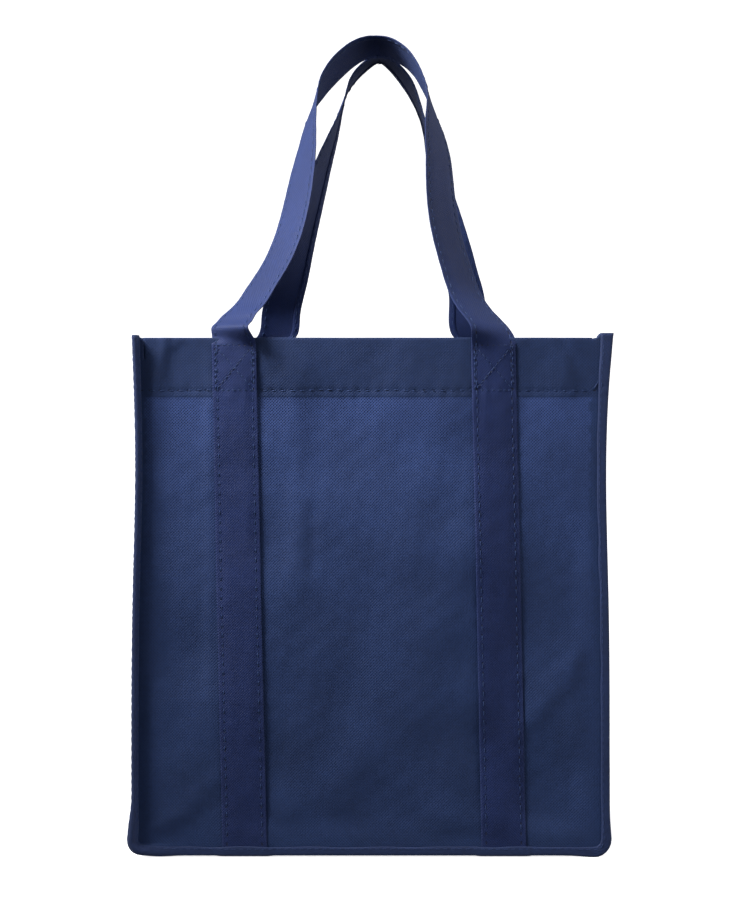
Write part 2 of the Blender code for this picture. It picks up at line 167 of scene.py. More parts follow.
def surround(front, side, top, below):
    """Brightness by direction: bright at both sides, fair overhead, dim ahead and below."""
    world = bpy.data.worlds.new("studio")
    world.use_nodes = True
    nodes, links = world.node_tree.nodes, world.node_tree.links

    def step(value, low, high, to_low, to_high):
        node = nodes.new("ShaderNodeMapRange")
        node.interpolation_type = "SMOOTHSTEP"
        for socket, number in zip(node.inputs[1:5], (low, high, to_low, to_high)):
            socket.default_value = number
        links.new(value, node.inputs[0])
        return node.outputs[0]

    def join(operation, first, second):
        node = nodes.new("ShaderNodeMath")
        node.operation = operation
        links.new(first, node.inputs[0])
        links.new(second, node.inputs[1])
        return node.outputs[0]

    parts = nodes.new("ShaderNodeSeparateXYZ")
    links.new(nodes.new("ShaderNodeTexCoord").outputs["Generated"], parts.inputs[0])
    beside = nodes.new("ShaderNodeMath")
    beside.operation = "ABSOLUTE"
    links.new(parts.outputs[0], beside.inputs[0])
    level = join("ADD", step(beside.outputs[0], 0.45, 0.92, front, side),
                 step(parts.outputs[2], 0.4, 1.0, 0.0, top))
    level = join("MULTIPLY", level, step(parts.outputs[2], -0.45, 0.15, below, 1.0))
    links.new(level, nodes["Background"].inputs["Strength"])
    nodes["Background"].inputs["Color"].default_value = (1.0, 1.0, 1.0, 1.0)
    return world


def spot(name, place, target, power, cone, radius):
    """A soft-edged spot at one place, turned to face another."""
    data = bpy.data.lights.new(name, "SPOT")
    data.energy = power
    data.spot_size = math.radians(cone)
    data.spot_blend = 1.0
    data.shadow_soft_size = radius
    lamp = bpy.data.objects.new(name, data)
    lamp.location = place
    way = np.array(target) - np.array(place)
    flat = math.hypot(way[0], way[1])
    lamp.rotation_euler = (math.atan2(flat, -way[2]), 0.0, math.atan2(-way[0], way[1]))
    lamp.visible_camera = False
    bpy.context.scene.collection.objects.link(lamp)
    return lamp


bpy.context.scene.world = surround(SURROUND_FRONT, SURROUND_SIDE, SURROUND_TOP, SURROUND_BELOW)
bpy.context.scene.view_settings.view_transform = "Standard"
key = spot("key_lamp", KEY_PLACE, KEY_TARGET, KEY_POWER, KEY_CONE, KEY_RADIUS)
print("key lamp", round(math.dist(key.location, LEFT_HANDLE), 2), "m from the left handle")

# %% [markdown]
# Nonwoven cloth is a felt of plastic fibres pressed between rollers, which leave a fine lattice of
# melted dots. The lattice runs along both diagonals of the cloth and follows it round every fold,
# so the finish reads the cloth's own map, laid out in metres when each sheet is made. Melted dots
# are darker, smoother and lower than the fibres between them.

# %% Cloth finish
DOT_PITCH = 0.00136
# painted glow: gains of the paler, redder colour that stands for light shining through single cloth
GLOW_GAIN = (2.35, 2.00, 1.95)
DOT_DEPTH, DOUBLED_SHADE, SHEEN = (0.28, 0.80), 0.90, 0.05
CLOTH_MAP = "cloth_map"


class Tree:
    """A short way to add nodes to a material and to join them."""

    def __init__(self, name):
        self.material = bpy.data.materials.new(name)
        self.material.use_nodes = True
        self.nodes = self.material.node_tree.nodes
        self.links = self.material.node_tree.links
        self.shader = self.nodes["Principled BSDF"]

    def put(self, socket, value):
        """Join a node's output to a socket, or write a plain value on it."""
        if isinstance(value, bpy.types.NodeSocket):
            self.links.new(value, socket)
        elif value is not None:
            socket.default_value = value

    def math(self, operation, first, second=None, third=None):
        """A Math node of up to three values."""
        node = self.nodes.new("ShaderNodeMath")
        node.operation = operation
        for socket, value in zip(node.inputs, (first, second, third)):
            self.put(socket, value)
        return node.outputs[0]

    def ramp(self, value, low, high, to_low=0.0, to_high=1.0):
        """Read a value smoothly from one range into another."""
        node = self.nodes.new("ShaderNodeMapRange")
        node.interpolation_type = "SMOOTHSTEP"
        for socket, number in zip(node.inputs, (value, low, high, to_low, to_high)):
            self.put(socket, number)
        return node.outputs[0]

    def noise(self, vector, scale, detail=2.0, stretch=(1.0, 1.0, 1.0)):
        """Noise whose pattern is stretched by a Mapping node."""
        mapping = self.nodes.new("ShaderNodeMapping")
        mapping.inputs["Scale"].default_value = stretch
        self.links.new(vector, mapping.inputs["Vector"])
        node = self.nodes.new("ShaderNodeTexNoise")
        node.inputs["Scale"].default_value = scale
        node.inputs["Detail"].default_value = detail
        self.links.new(mapping.outputs[0], node.inputs["Vector"])
        return node.outputs["Fac"]

    def attribute(self, name):
        """A number that the mesh carries at each point."""
        node = self.nodes.new("ShaderNodeAttribute")
        node.attribute_name = name
        return node.outputs["Fac"]

    def mix(self, share, first, second):
        """Blend two colours by a share."""
        node = self.nodes.new("ShaderNodeMix")
        node.data_type = "RGBA"
        self.put(node.inputs[0], share)
        self.put(node.inputs[6], first)
        self.put(node.inputs[7], second)
        return node.outputs[2]

    def cloth_place(self):
        """The place on the piece's own map, in metres."""
        node = self.nodes.new("ShaderNodeUVMap")
        node.uv_map = CLOTH_MAP
        return node.outputs["UV"]

    def scaled(self, colour, tone):
        """A colour made lighter or darker by a number."""
        node = self.nodes.new("ShaderNodeVectorMath")
        node.operation = "SCALE"
        self.put(node.inputs[0], colour)
        self.put(node.inputs["Scale"], tone)
        return node.outputs[0]

    def set(self, name, value):
        """Join or write one input of the surface itself."""
        self.put(self.shader.inputs[name], value)

    def bump(self, height, strength, distance):
        """Let a height pattern tilt the surface."""
        node = self.nodes.new("ShaderNodeBump")
        node.inputs["Strength"].default_value = strength
        node.inputs["Distance"].default_value = distance
        self.links.new(height, node.inputs["Height"])
        self.links.new(node.outputs[0], self.shader.inputs["Normal"])


def needle_ticks(tree, distance, along, pitch):
    """1 in the short dents that the needle leaves on a seam line, 0 elsewhere; the finish darkens them with
    painted shade.
    """
    beside = tree.ramp(tree.math("ABSOLUTE", distance), 0.0002, 0.0006, 1.0, 0.0)
    share = tree.math("FRACT", tree.math("MULTIPLY", along, 1.0 / pitch))
    from_dent = tree.math("ABSOLUTE", tree.math("SUBTRACT", share, 0.5))
    return tree.math("MULTIPLY", beside, tree.ramp(from_dent, 0.30, 0.38))


def cloth_finish(name, colour, pitch=DOT_PITCH, roughness=0.66, shine=0.20, ticks=None):
    """Fibres, melted dots, mottled dye, pale wear with painted highlight, and, where sewn, dents along the
    seam lines darkened with painted shade.

    Where the painted glow is high its colour moves towards a paler one with more red in it: painted light
    that stands for daylight from inside the bag shining through single cloth.
    """
    tree = Tree(name)
    place = tree.cloth_place()
    parts = tree.nodes.new("ShaderNodeSeparateXYZ")
    tree.links.new(place, parts.inputs[0])
    across, along = parts.outputs[0], parts.outputs[1]

    rate = 2.0 * math.pi / (pitch * math.sqrt(2.0))
    rising = tree.math("COSINE", tree.math("MULTIPLY", tree.math("ADD", across, along), rate))
    falling = tree.math("COSINE", tree.math("MULTIPLY", tree.math("SUBTRACT", across, along), rate))
    lattice = tree.math("MULTIPLY", tree.math("ADD", rising, falling), 0.5)
    dots = tree.ramp(lattice, -0.15, 0.65)

    fibres = tree.noise(place, 900.0, 3.0, (1.0, 0.45, 1.0))
    mottle = tree.noise(place, 22.0, 3.0)
    patch = tree.noise(place, 160.0, 2.0)
    tone = tree.ramp(mottle, 0.25, 0.75, 0.90, 1.10)
    tone = tree.math("MULTIPLY", tone, tree.ramp(patch, 0.2, 0.8, 0.95, 1.05))
    tone = tree.math("MULTIPLY", tone, tree.ramp(fibres, 0.25, 0.75, 0.90, 1.12))
    painted_glow = tree.attribute("painted_glow")
    # the dots darken more where the painted glow shows between them
    depth = tree.ramp(painted_glow, 0.0, 1.0, *DOT_DEPTH)
    tone = tree.math("MULTIPLY", tone, tree.math("SUBTRACT", 1.2, tree.math("MULTIPLY", dots, depth)))
    # painted shade: doubled cloth is darkened, standing for less light from inside the bag coming through
    # two layers
    tone = tree.math("MULTIPLY", tone, tree.ramp(tree.attribute("doubled"), 0.0, 1.0, 1.0, DOUBLED_SHADE))
    height = tree.math("ADD", tree.math("MULTIPLY", dots, -1.0), tree.math("MULTIPLY", fibres, 0.5))
    if ticks:
        dents = ticks(tree, across, along)
        # painted shade in the needle dents, which are also lowered by the bump
        tone = tree.math("MULTIPLY", tone, tree.ramp(dents, 0.0, 1.0, 1.0, 0.35))
        height = tree.math("SUBTRACT", height, tree.math("MULTIPLY", dents, 3.0))

    # painted light: the colour that the painted glow moves towards
    lit = tuple(gain * c for gain, c in zip(GLOW_GAIN, colour))
    dyed = tree.scaled(tree.mix(painted_glow, (*colour, 1.0), (*lit, 1.0)), tone)
    # paler colour for wear and painted highlight on folds, rims, creases and edges
    pale = tuple(1.5 * c + 0.012 for c in colour)
    wear_and_highlight = tree.math("MULTIPLY", tree.attribute("wear_and_highlight"), tree.ramp(fibres, 0.3, 0.7, 0.35, 1.0))
    tree.set("Base Color", tree.mix(wear_and_highlight, dyed, (*pale, 1.0)))
    rough = tree.ramp(fibres, 0.2, 0.8, roughness - 0.06, roughness + 0.10)
    tree.set("Roughness", tree.math("SUBTRACT", rough, tree.math("MULTIPLY", dots, 0.14)))
    tree.set("Specular IOR Level", shine)
    tree.set("Sheen Weight", SHEEN)
    tree.set("Sheen Roughness", 0.45)
    tree.set("Sheen Tint", (0.62, 0.74, 1.0, 1.0))
    tree.bump(height, 0.8, 0.00020)
    return tree.material


# %% [markdown]
# Sewing thread is two plies twisted together, a little lighter and glossier than the cloth. The
# twist is a slanted wave on the map of each stitch.

# %% Thread finish
def thread_finish(name, colour, roughness):
    """Twisted plies: a slanted wave lowers the grooves between them and darkens them with painted shade."""
    tree = Tree(name)
    place = tree.cloth_place()
    wave = tree.nodes.new("ShaderNodeTexWave")
    wave.bands_direction = "DIAGONAL"
    wave.inputs["Scale"].default_value = 420.0
    wave.inputs["Distortion"].default_value = 0.6
    tree.links.new(place, wave.inputs["Vector"])
    groove = wave.outputs["Fac"]
    fuzz = tree.noise(place, 2600.0, 2.0)
    # painted shade in the grooves between the plies
    tone = tree.math("MULTIPLY", tree.ramp(groove, 0.1, 0.8, 0.55, 1.1),
                     tree.ramp(fuzz, 0.2, 0.8, 0.85, 1.15))
    tree.set("Base Color", tree.scaled(colour, tone))
    tree.set("Roughness", tree.ramp(fuzz, 0.2, 0.8, roughness - 0.08, roughness + 0.1))
    tree.set("Specular IOR Level", 0.3)
    tree.bump(groove, 0.6, 0.00008)
    return tree.material


# %% [markdown]
# Now the seam line. It runs down the left side of the front panel, round a small corner, along the
# base and up the right side. Its two neighbours, the panel and the gusset strip, lie face to face
# beyond it as a seam allowance, which the tape wraps. At the left the allowance is turned forwards,
# towards the viewer, and it twists flat near the bottom corner; elsewhere it stays in the plane.

# %% Sizes of the bag
BAG_WIDTH, BAG_DEPTH, BAG_HEIGHT, CORNER_RADIUS = 0.293, 0.203, 0.330, 0.003
WAIST, WAIST_HEIGHT, WAIST_SPREAD, BELLY = 0.0025, 0.250, 0.080, 0.006
SIDE_BULGE, SIDE_BULGE_HEIGHT, SIDE_BULGE_SPREAD, SIDE_TUCK = 0.006, 0.110, 0.070, 0.016
CLOTH, TAPE, STRAP, GAP = 0.0005, 0.00045, 0.0009, 0.0003
HEM_DEPTH, SEAM_ALLOWANCE, TAPE_START, TURN_RADIUS = 0.038, 0.006, 0.0016, 0.0015
EAR, RIGHT_EAR, EAR_STEP, EAR_RUN, EAR_START, EAR_END = 0.002, 0.0036, 0.0004, 0.014, -0.0006, 0.0018
FLARE, FLARE_RUN, CORNER_TUCK, TUCK_RUN = 0.0034, 0.030, 0.0012, 0.012
LEFT_FLANGE_ANGLE, FLANGE_TWIST_RUN, TWIST_EASE = math.radians(74.0), 0.028, 0.0007
DROP_START, DROP_END = 0.0020, 0.0110

HALF_WIDTH, HALF_DEPTH = BAG_WIDTH / 2, BAG_DEPTH / 2
LAYER = GAP / 2 + CLOTH / 2
FOLD_RADIUS = (CLOTH + GAP) / 2
RIM = BAG_HEIGHT - CLOTH / 2 - FOLD_RADIUS
STRAP_OFFSET = GAP / 2 + CLOTH + GAP + STRAP / 2
TAPE_OFFSET = GAP / 2 + CLOTH + GAP + TAPE / 2
TAPE_OVER_STRAP = STRAP + GAP
SEAM_HEIGHT = SEAM_ALLOWANCE + TAPE_OFFSET + TAPE_OVER_STRAP / 2 + TAPE / 2 + GAP
SAG = SEAM_HEIGHT - CLOTH / 2 - LAYER
SIDE_LENGTH = RIM - SEAM_HEIGHT - CORNER_RADIUS
CORNER_LENGTH = math.pi / 2 * CORNER_RADIUS
BASE_LENGTH = BAG_WIDTH - 2 * CORNER_RADIUS
SEAM_LENGTH = 2 * SIDE_LENGTH + 2 * CORNER_LENGTH + BASE_LENGTH
print("seam", round(SEAM_LENGTH, 3), "m long, at", round(SEAM_HEIGHT * 1000, 1), "mm on the base")

# %% [markdown]
# The seam itself is a function of one distance, measured from the left end of the rim. At each
# distance it gives a place, the direction out of the bag, and how much of the base is there. A
# second function bends a layer round the seam, so that panel, gusset and tape share one turn.

# %% The seam line
def seam_half_width(z):
    """Half the width between the seams, drawn in by a hump round the waist height."""
    return HALF_WIDTH - WAIST * hump(z - WAIST_HEIGHT, WAIST_SPREAD)


def seam_frame(s):
    """Position, outward direction and share of the base at the distance s along the seam.

    Two straight sides and a straight base joined by quarter circles, with the waist drawn in.
    """
    s = np.asarray(s, float)
    first = np.clip((s - SIDE_LENGTH) / CORNER_LENGTH, 0.0, 1.0)
    second = np.clip((s - SIDE_LENGTH - CORNER_LENGTH - BASE_LENGTH) / CORNER_LENGTH, 0.0, 1.0)
    angle = (first + second) * math.pi / 2
    along_base = np.clip(s - SIDE_LENGTH - CORNER_LENGTH, 0.0, BASE_LENGTH)
    out_x, out_z = -np.cos(angle), -np.sin(angle)
    left_z = RIM - np.clip(s, 0.0, SIDE_LENGTH)
    right_z = RIM - np.clip(SEAM_LENGTH - s, 0.0, SIDE_LENGTH)
    z = np.where(s <= SEAM_LENGTH / 2, left_z, right_z) + CORNER_RADIUS * out_z
    x = -(HALF_WIDTH - CORNER_RADIUS) + along_base + CORNER_RADIUS * out_x
    x = x - np.sign(x) * (HALF_WIDTH - seam_half_width(z))
    base = smooth(first) * (1.0 - smooth(second))
    return {"x": x, "z": z, "out_x": out_x, "out_z": out_z, "base": base, "s": s}


def twist_share(s):
    """0 before the bottom left corner and 1 past it: how far the allowance has twisted."""
    end = SIDE_LENGTH + CORNER_LENGTH + FLANGE_TWIST_RUN
    start = SIDE_LENGTH - FLANGE_TWIST_RUN
    return np.clip((np.asarray(s, float) - start) / (end - start), 0.0, 1.0)


def flange_angle(s):
    """How far the seam allowance is turned forwards out of the panel's plane."""
    return LEFT_FLANGE_ANGLE * (1.0 - smooth(twist_share(s)))


def twist_ease(s):
    """How much further apart the layers stand where the allowance twists and bunches."""
    return TWIST_EASE * bell(twist_share(s))


def turn(run, offset, angle):
    """A layer that runs straight, turns by angle round TURN_RADIUS, and runs straight on."""
    half = TURN_RADIUS * angle / 2
    turned = np.clip((run + half) / TURN_RADIUS, 0.0, angle)
    before = np.minimum(run + half, 0.0)
    after = np.maximum(run - half, 0.0)
    along = before - TURN_RADIUS * np.tan(angle / 2) + TURN_RADIUS * np.sin(turned) + after * np.cos(angle)
    across = TURN_RADIUS * (1.0 - np.cos(turned)) + after * np.sin(angle)
    return along - offset * np.sin(turned), across + offset * np.cos(turned)


def straight_run(angle):
    """The run at which a layer passes the corner point of its turn."""
    return TURN_RADIUS * (angle / 2 - np.tan(angle / 2))


def at_seam(seam, outward, forward, angle):
    """World points from distances outward and forward of the seam.

    Near the rim the allowance rises into an ear and flares in its own direction. At the base it
    draws in round the left corner and pushes out round the right one.
    """
    reach = outward * np.cos(angle) + forward * np.sin(angle)
    height = np.where(seam["x"] > 0.0, RIGHT_EAR, EAR)
    ear = (height - EAR_STEP) * smooth((reach - EAR_START) / (EAR_END - EAR_START))
    ear = ear + EAR_STEP * smooth((reach + CORNER_RADIUS) / (CORNER_RADIUS / 2))
    ear = ear * smooth((seam["z"] - RIM + EAR_RUN) / EAR_RUN)
    past = smooth(reach / SEAM_ALLOWANCE)
    flare = np.where(seam["x"] > 0.0, FLARE, FLARE / 2)
    flare = flare * past * np.exp(-np.maximum(RIM - seam["z"], 0.0) / FLARE_RUN)
    half = (SEAM_LENGTH - BASE_LENGTH - CORNER_LENGTH) / 2
    from_corner = np.minimum(np.abs(seam["s"] - half), np.abs(SEAM_LENGTH - half - seam["s"]))
    tuck = np.where(seam["x"] > 0.0, -CORNER_TUCK, CORNER_TUCK)
    outward = outward - tuck * past * hump(from_corner, TUCK_RUN)
    x = seam["x"] + seam["out_x"] * (outward + flare * np.cos(angle))
    y = -HALF_DEPTH - forward - flare * np.sin(angle)
    z = seam["z"] + seam["out_z"] * outward + ear
    return np.stack(np.broadcast_arrays(x, y, z), axis=-1)


def turn_round(points):
    """Half a turn about +Z, from the front of the bag to its rear."""
    return points * np.array([-1.0, -1.0, 1.0])


def column(seam):
    """The same seam values stood up, so that they meet a row of profile values."""
    return {name: values[:, None] for name, values in seam.items()}


print("rim corner", [round(float(seam_frame([0.0])[k][0]), 4) for k in ("x", "z")])

# %% [markdown]
# Cloth that stands by itself is never flat. Its relief is a height out of the panel's plane at each
# place across and up: a swelling belly, the packing folds and dents that the photograph shows, slow
# waves, and small puckers where stitches draw the cloth up. The strap and its stitches are sewn to
# the panel, so they ask the same function and can't part from it.

# %% Relief of the panels
HEM_LINE, HEM_EDGE = 0.2964, BAG_HEIGHT - HEM_DEPTH


def slow_waves(u, v, seed, length, count=9):
    """The mean of cosine waves of about one length, each with its own way and start."""
    draw = np.random.default_rng(seed)
    way = draw.uniform(0.0, 2.0 * math.pi, count)
    rate = 2.0 * math.pi / (length * draw.uniform(0.75, 1.4, count))
    start = draw.uniform(0.0, 2.0 * math.pi, count)
    total = 0.0
    for k in range(count):
        total = total + np.cos(rate[k] * (u * np.cos(way[k]) + v * np.sin(way[k])) + start[k])
    return total / math.sqrt(count)


def uneven(s, pitch, drift, waves):
    """A cosine along s whose pitch wanders: drift times the waves is added to its angle."""
    return np.cos(2.0 * math.pi * s / pitch + drift * waves)


def fold_line(x, z, first, last, width, height, run=0.30):
    """A ridge or dent along a line: a bell across it, easing out over a share of its length."""
    first, last = np.array(first), np.array(last)
    way = last - first
    length = math.hypot(way[0], way[1])
    way = way / length
    along = ((x - first[0]) * way[0] + (z - first[1]) * way[1]) / length
    beside = (x - first[0]) * -way[1] + (z - first[1]) * way[0]
    ends = smooth((along + run) / run) * smooth((1.0 + run - along) / run)
    return height * hump(beside, width) * ends


def tent(t, width):
    """A packing fold seen from the side: falls away evenly from a slightly rounded ridge."""
    return np.maximum(0.0, 1.0 - np.sqrt(t * t + (0.05 * width) ** 2) / width)


def belly(x, z):
    """How far a panel swells: a bell across its width times a bell up its height."""
    inner = seam_half_width(z) - CORNER_RADIUS
    up = (z - SEAM_HEIGHT - CORNER_RADIUS) / SIDE_LENGTH
    return BELLY * bell((x + inner) / (2 * inner)) * bell(up)


# Folds of the front panel: two ends in metres across and up, width and height of the ridge.
FRONT_FOLDS = [
    ((-0.1285, 0.3300), (-0.1390, 0.2822), 0.0042, 0.0017),
    ((-0.1195, 0.3290), (-0.1240, 0.3240), 0.0024, 0.0006),
    ((0.1100, 0.3300), (0.1470, 0.2800), 0.0100, 0.0012),
    ((0.1220, 0.3300), (0.1440, 0.2980), 0.0040, -0.0009),
    ((-0.0445, 0.2950), (-0.0440, 0.1900), 0.0085, 0.0011),
    ((-0.0350, 0.2200), (-0.0360, 0.1850), 0.0050, -0.0007),
    ((-0.1010, 0.3000), (-0.1000, 0.1200), 0.0035, 0.0005),
    ((0.1476, 0.1411), (0.1031, 0.0871), 0.0080, 0.0010),
    ((-0.0971, 0.0489), (-0.1289, 0.0172), 0.0070, 0.0009),
    ((0.0300, 0.0850), (-0.0500, 0.0300), 0.0150, 0.0008),
    ((0.0050, 0.2700), (0.0420, 0.1500), 0.0160, 0.0007),
]
REAR_FOLDS = [
    ((-0.1280, 0.3300), (-0.1400, 0.2700), 0.0060, -0.0012),
    ((0.1180, 0.3300), (0.1400, 0.2900), 0.0080, 0.0010),
    ((0.0300, 0.2900), (0.0450, 0.1500), 0.0120, 0.0010),
    ((-0.0500, 0.1600), (0.0200, 0.0500), 0.0120, 0.0009),
    ((-0.1400, 0.1400), (-0.0950, 0.0600), 0.0080, 0.0010),
]
PACKING_FOLD, PACKING_SPREAD = 0.0996, 0.030
UPPER_FOLD, UPPER_SPREAD = 0.232, 0.016
FRONT_SEED, REAR_SEED = 20, 40


def seam_distance(x, z):
    """How far a place on the panel is from the nearest side or base seam."""
    beside = seam_half_width(z) - CORNER_RADIUS - np.abs(x)
    return np.maximum(0.0, np.minimum(beside, z - SEAM_HEIGHT - CORNER_RADIUS))


def relief(x, z, rear=False):
    """Height out of the panel's plane: belly, folds, waves and puckers, none at the seams."""
    seed = REAR_SEED if rear else FRONT_SEED
    away = seam_distance(x, z)
    total = 0.0
    for first, last, width, height in (REAR_FOLDS if rear else FRONT_FOLDS):
        total = total + fold_line(x, z, first, last, width, height)
    total = total + 0.0011 * slow_waves(x, z, seed, 0.110) + 0.0004 * slow_waves(x, z, seed + 1, 0.038)
    total = total + 0.00007 * slow_waves(x, z, seed + 2, 0.011)
    left_half = smooth((-0.02 - x) / 0.05) if not rear else smooth((x + 0.05) / 0.05)
    total = total + 0.0016 * tent(z - PACKING_FOLD, PACKING_SPREAD) * left_half
    total = total + 0.0005 * tent(z - UPPER_FOLD, UPPER_SPREAD) * (0.4 + 0.6 * left_half)
    hem = 0.00022 * smooth((z - HEM_EDGE + 0.001) / 0.002)
    hem = hem - 0.00028 * hump(z - HEM_LINE, 0.0016)
    draw = uneven(z, 0.0094, 2.2, slow_waves(x, z, seed + 3, 0.05))
    puckers = 0.00030 * draw * np.exp(-away / 0.0055)
    level = uneven(x, 0.0088, 2.0, slow_waves(x, z, seed + 4, 0.045))
    puckers = puckers + 0.00016 * level * hump(z - HEM_LINE, 0.006)
    return belly(x, z) + (total + hem + puckers) * smooth(away / 0.017)


across, up = np.meshgrid(np.linspace(-0.14, 0.14, 57), np.linspace(0.02, RIM, 63))
print("relief from", round(float(relief(across, up).min()) * 1000, 2), "to",
      round(float(relief(across, up).max()) * 1000, 2), "mm")

# %% [markdown]
# A sheet is one or more grids of points that share edges. The grids go into one mesh, the shared
# edges are welded, and Solidify gives the middle surface its real thickness of half a millimetre.
# Each grid also carries a map in metres for the finish, and three numbers for each point: how far
# the cloth is doubled there, which darkens it with painted shade for the light from inside the bag
# that two layers hold back; how much wear and painted highlight it gets on folds and edges; and how
# much painted glow it gets, painted light that stands for daylight from inside the bag showing
# between its melted dots, which makes single cloth below the hem paler and fades towards the base.

# %% Make a sheet from grids
WELD = 1e-6


def patch(points, u, v, doubled=0.0, wear_and_highlight=0.0, painted_glow=0.0):
    """A grid of points with its map and its three numbers, all brought to the grid's shape."""
    shape = points.shape[:2]
    return {
        "points": points,
        "map": np.stack([np.broadcast_to(u, shape), np.broadcast_to(v, shape)], axis=-1),
        "doubled": np.broadcast_to(doubled, shape),
        "wear_and_highlight": np.broadcast_to(wear_and_highlight, shape),
        "painted_glow": np.broadcast_to(painted_glow, shape),
    }


def write_numbers(mesh, name, values):
    """Store one number at each point of a mesh."""
    layer = mesh.attributes.new(name, "FLOAT", "POINT")
    layer.data.foreach_set("value", np.ascontiguousarray(values, dtype=np.float32))


def write_map(mesh, corners):
    """Store the map in metres, one pair at each face corner."""
    layer = mesh.uv_layers.new(name=CLOTH_MAP)
    layer.data.foreach_set("uv", np.ascontiguousarray(corners, dtype=np.float32).ravel())


def sheet(name, patches, thickness, material, rear=False):
    """Join grids into one sheet of cloth, weld their shared edges and give it thickness."""
    points = np.concatenate([p["points"].reshape(-1, 3) for p in patches])
    starts = np.cumsum([0] + [p["points"].shape[0] * p["points"].shape[1] for p in patches])
    faces = np.concatenate([
        grid_faces(*p["points"].shape[:2], start=start) for p, start in zip(patches, starts)
    ])
    flat = np.concatenate([p["map"].reshape(-1, 2) for p in patches])
    if rear:
        points = turn_round(points)
    mesh = bpy.data.meshes.new(name)
    mesh.from_pydata(points, [], faces)
    write_map(mesh, flat[faces.ravel()])
    for number in ("doubled", "wear_and_highlight", "painted_glow"):
        write_numbers(mesh, number, np.concatenate([p[number].ravel() for p in patches]))
    shape = bmesh.new()
    shape.from_mesh(mesh)
    bmesh.ops.remove_doubles(shape, verts=shape.verts, dist=WELD)
    bmesh.ops.recalc_face_normals(shape, faces=shape.faces)
    shape.to_mesh(mesh)
    shape.free()
    mesh.shade_smooth()
    mesh.materials.append(material)
    piece = link(name, mesh)
    wall = piece.modifiers.new("thickness", "SOLIDIFY")
    wall.thickness = thickness
    wall.offset = 0.0
    wall.use_even_offset = True
    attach(piece, "root")
    print(name, len(mesh.polygons), "squares")
    return piece


# %% [markdown]
# A panel is cut about 305 by 366 mm. Its field is a grid of rows and columns. Round three sides
# runs a ribbon that follows the seam line, turns forwards at the left, and ends at the raw edge of
# the allowance. At the top the cloth is turned in over a hem 38 mm deep, which shows outside as a
# darker band of painted shade above a faint ledge.

# %% Panels
FIELD_STEP, HEM_STEPS, CORNER_STEPS = 0.0017, 22, 7
NEAR_ROW = np.array([-1.6, -0.8, 0.0, 0.8, 1.6]) / 1000
NEAR_EDGE = np.array([-1.0, -0.3, 0.4, 1.0]) / 1000
GLOW_RUN, PALE_RIM_RUN, RIM_WEAR_AND_HIGHLIGHT = 0.075, 0.0016, 0.30
NAVY, ROW_PITCH = (0.0110, 0.0250, 0.0820), 0.0060


def side_steps():
    """Distances down a side from the rim, with close rows at the hem's stitches and edge."""
    even = np.linspace(0.0, SIDE_LENGTH, int(SIDE_LENGTH / FIELD_STEP) + 1)
    near = RIM - np.concatenate([HEM_LINE + NEAR_ROW, HEM_EDGE + NEAR_EDGE])
    apart = np.abs(even[:, None] - near[None, :]).min(axis=1)
    return np.sort(np.concatenate([even[apart > 0.0006], near]))


def base_steps():
    """Even distances along the base from one corner arc to the other."""
    return np.linspace(0.0, BASE_LENGTH, int(BASE_LENGTH / FIELD_STEP) + 1)


def seam_stations():
    """Distances along the whole seam at which the sheets are divided."""
    corner = SIDE_LENGTH + np.linspace(0.0, CORNER_LENGTH, CORNER_STEPS)[1:]
    left = np.concatenate([side_steps(), corner])
    base = SIDE_LENGTH + CORNER_LENGTH + base_steps()[1:-1]
    return np.concatenate([left, base, SEAM_LENGTH - left[::-1]])


def hem_profile():
    """Inward and upward distances of a hem from the rim row: half round, then down to its edge."""
    round_angle = np.linspace(0.0, math.pi, 7)
    down = -np.linspace(0.0, HEM_DEPTH - FOLD_RADIUS, HEM_STEPS)[1:]
    inward = FOLD_RADIUS * (1.0 - np.cos(round_angle))
    inward = np.concatenate([inward, np.full(down.size, 2 * FOLD_RADIUS)])
    return inward, np.concatenate([FOLD_RADIUS * np.sin(round_angle), down])


def hem_cover(z):
    """1 where the hem lies behind the cloth and 0 below it."""
    return smooth((z - HEM_EDGE + 0.0004) / 0.0008)


def allowance_runs(angle):
    """Where a seam's turn begins, the bend's half run, and the runs from the bend to the raw edge."""
    start = straight_run(angle)
    bend = 0.9 * TURN_RADIUS * angle / 2 + 0.1 * TURN_RADIUS
    return start, bend, bend + (SEAM_ALLOWANCE + start - bend) * np.linspace(0.0, 1.0, 4)[1:]


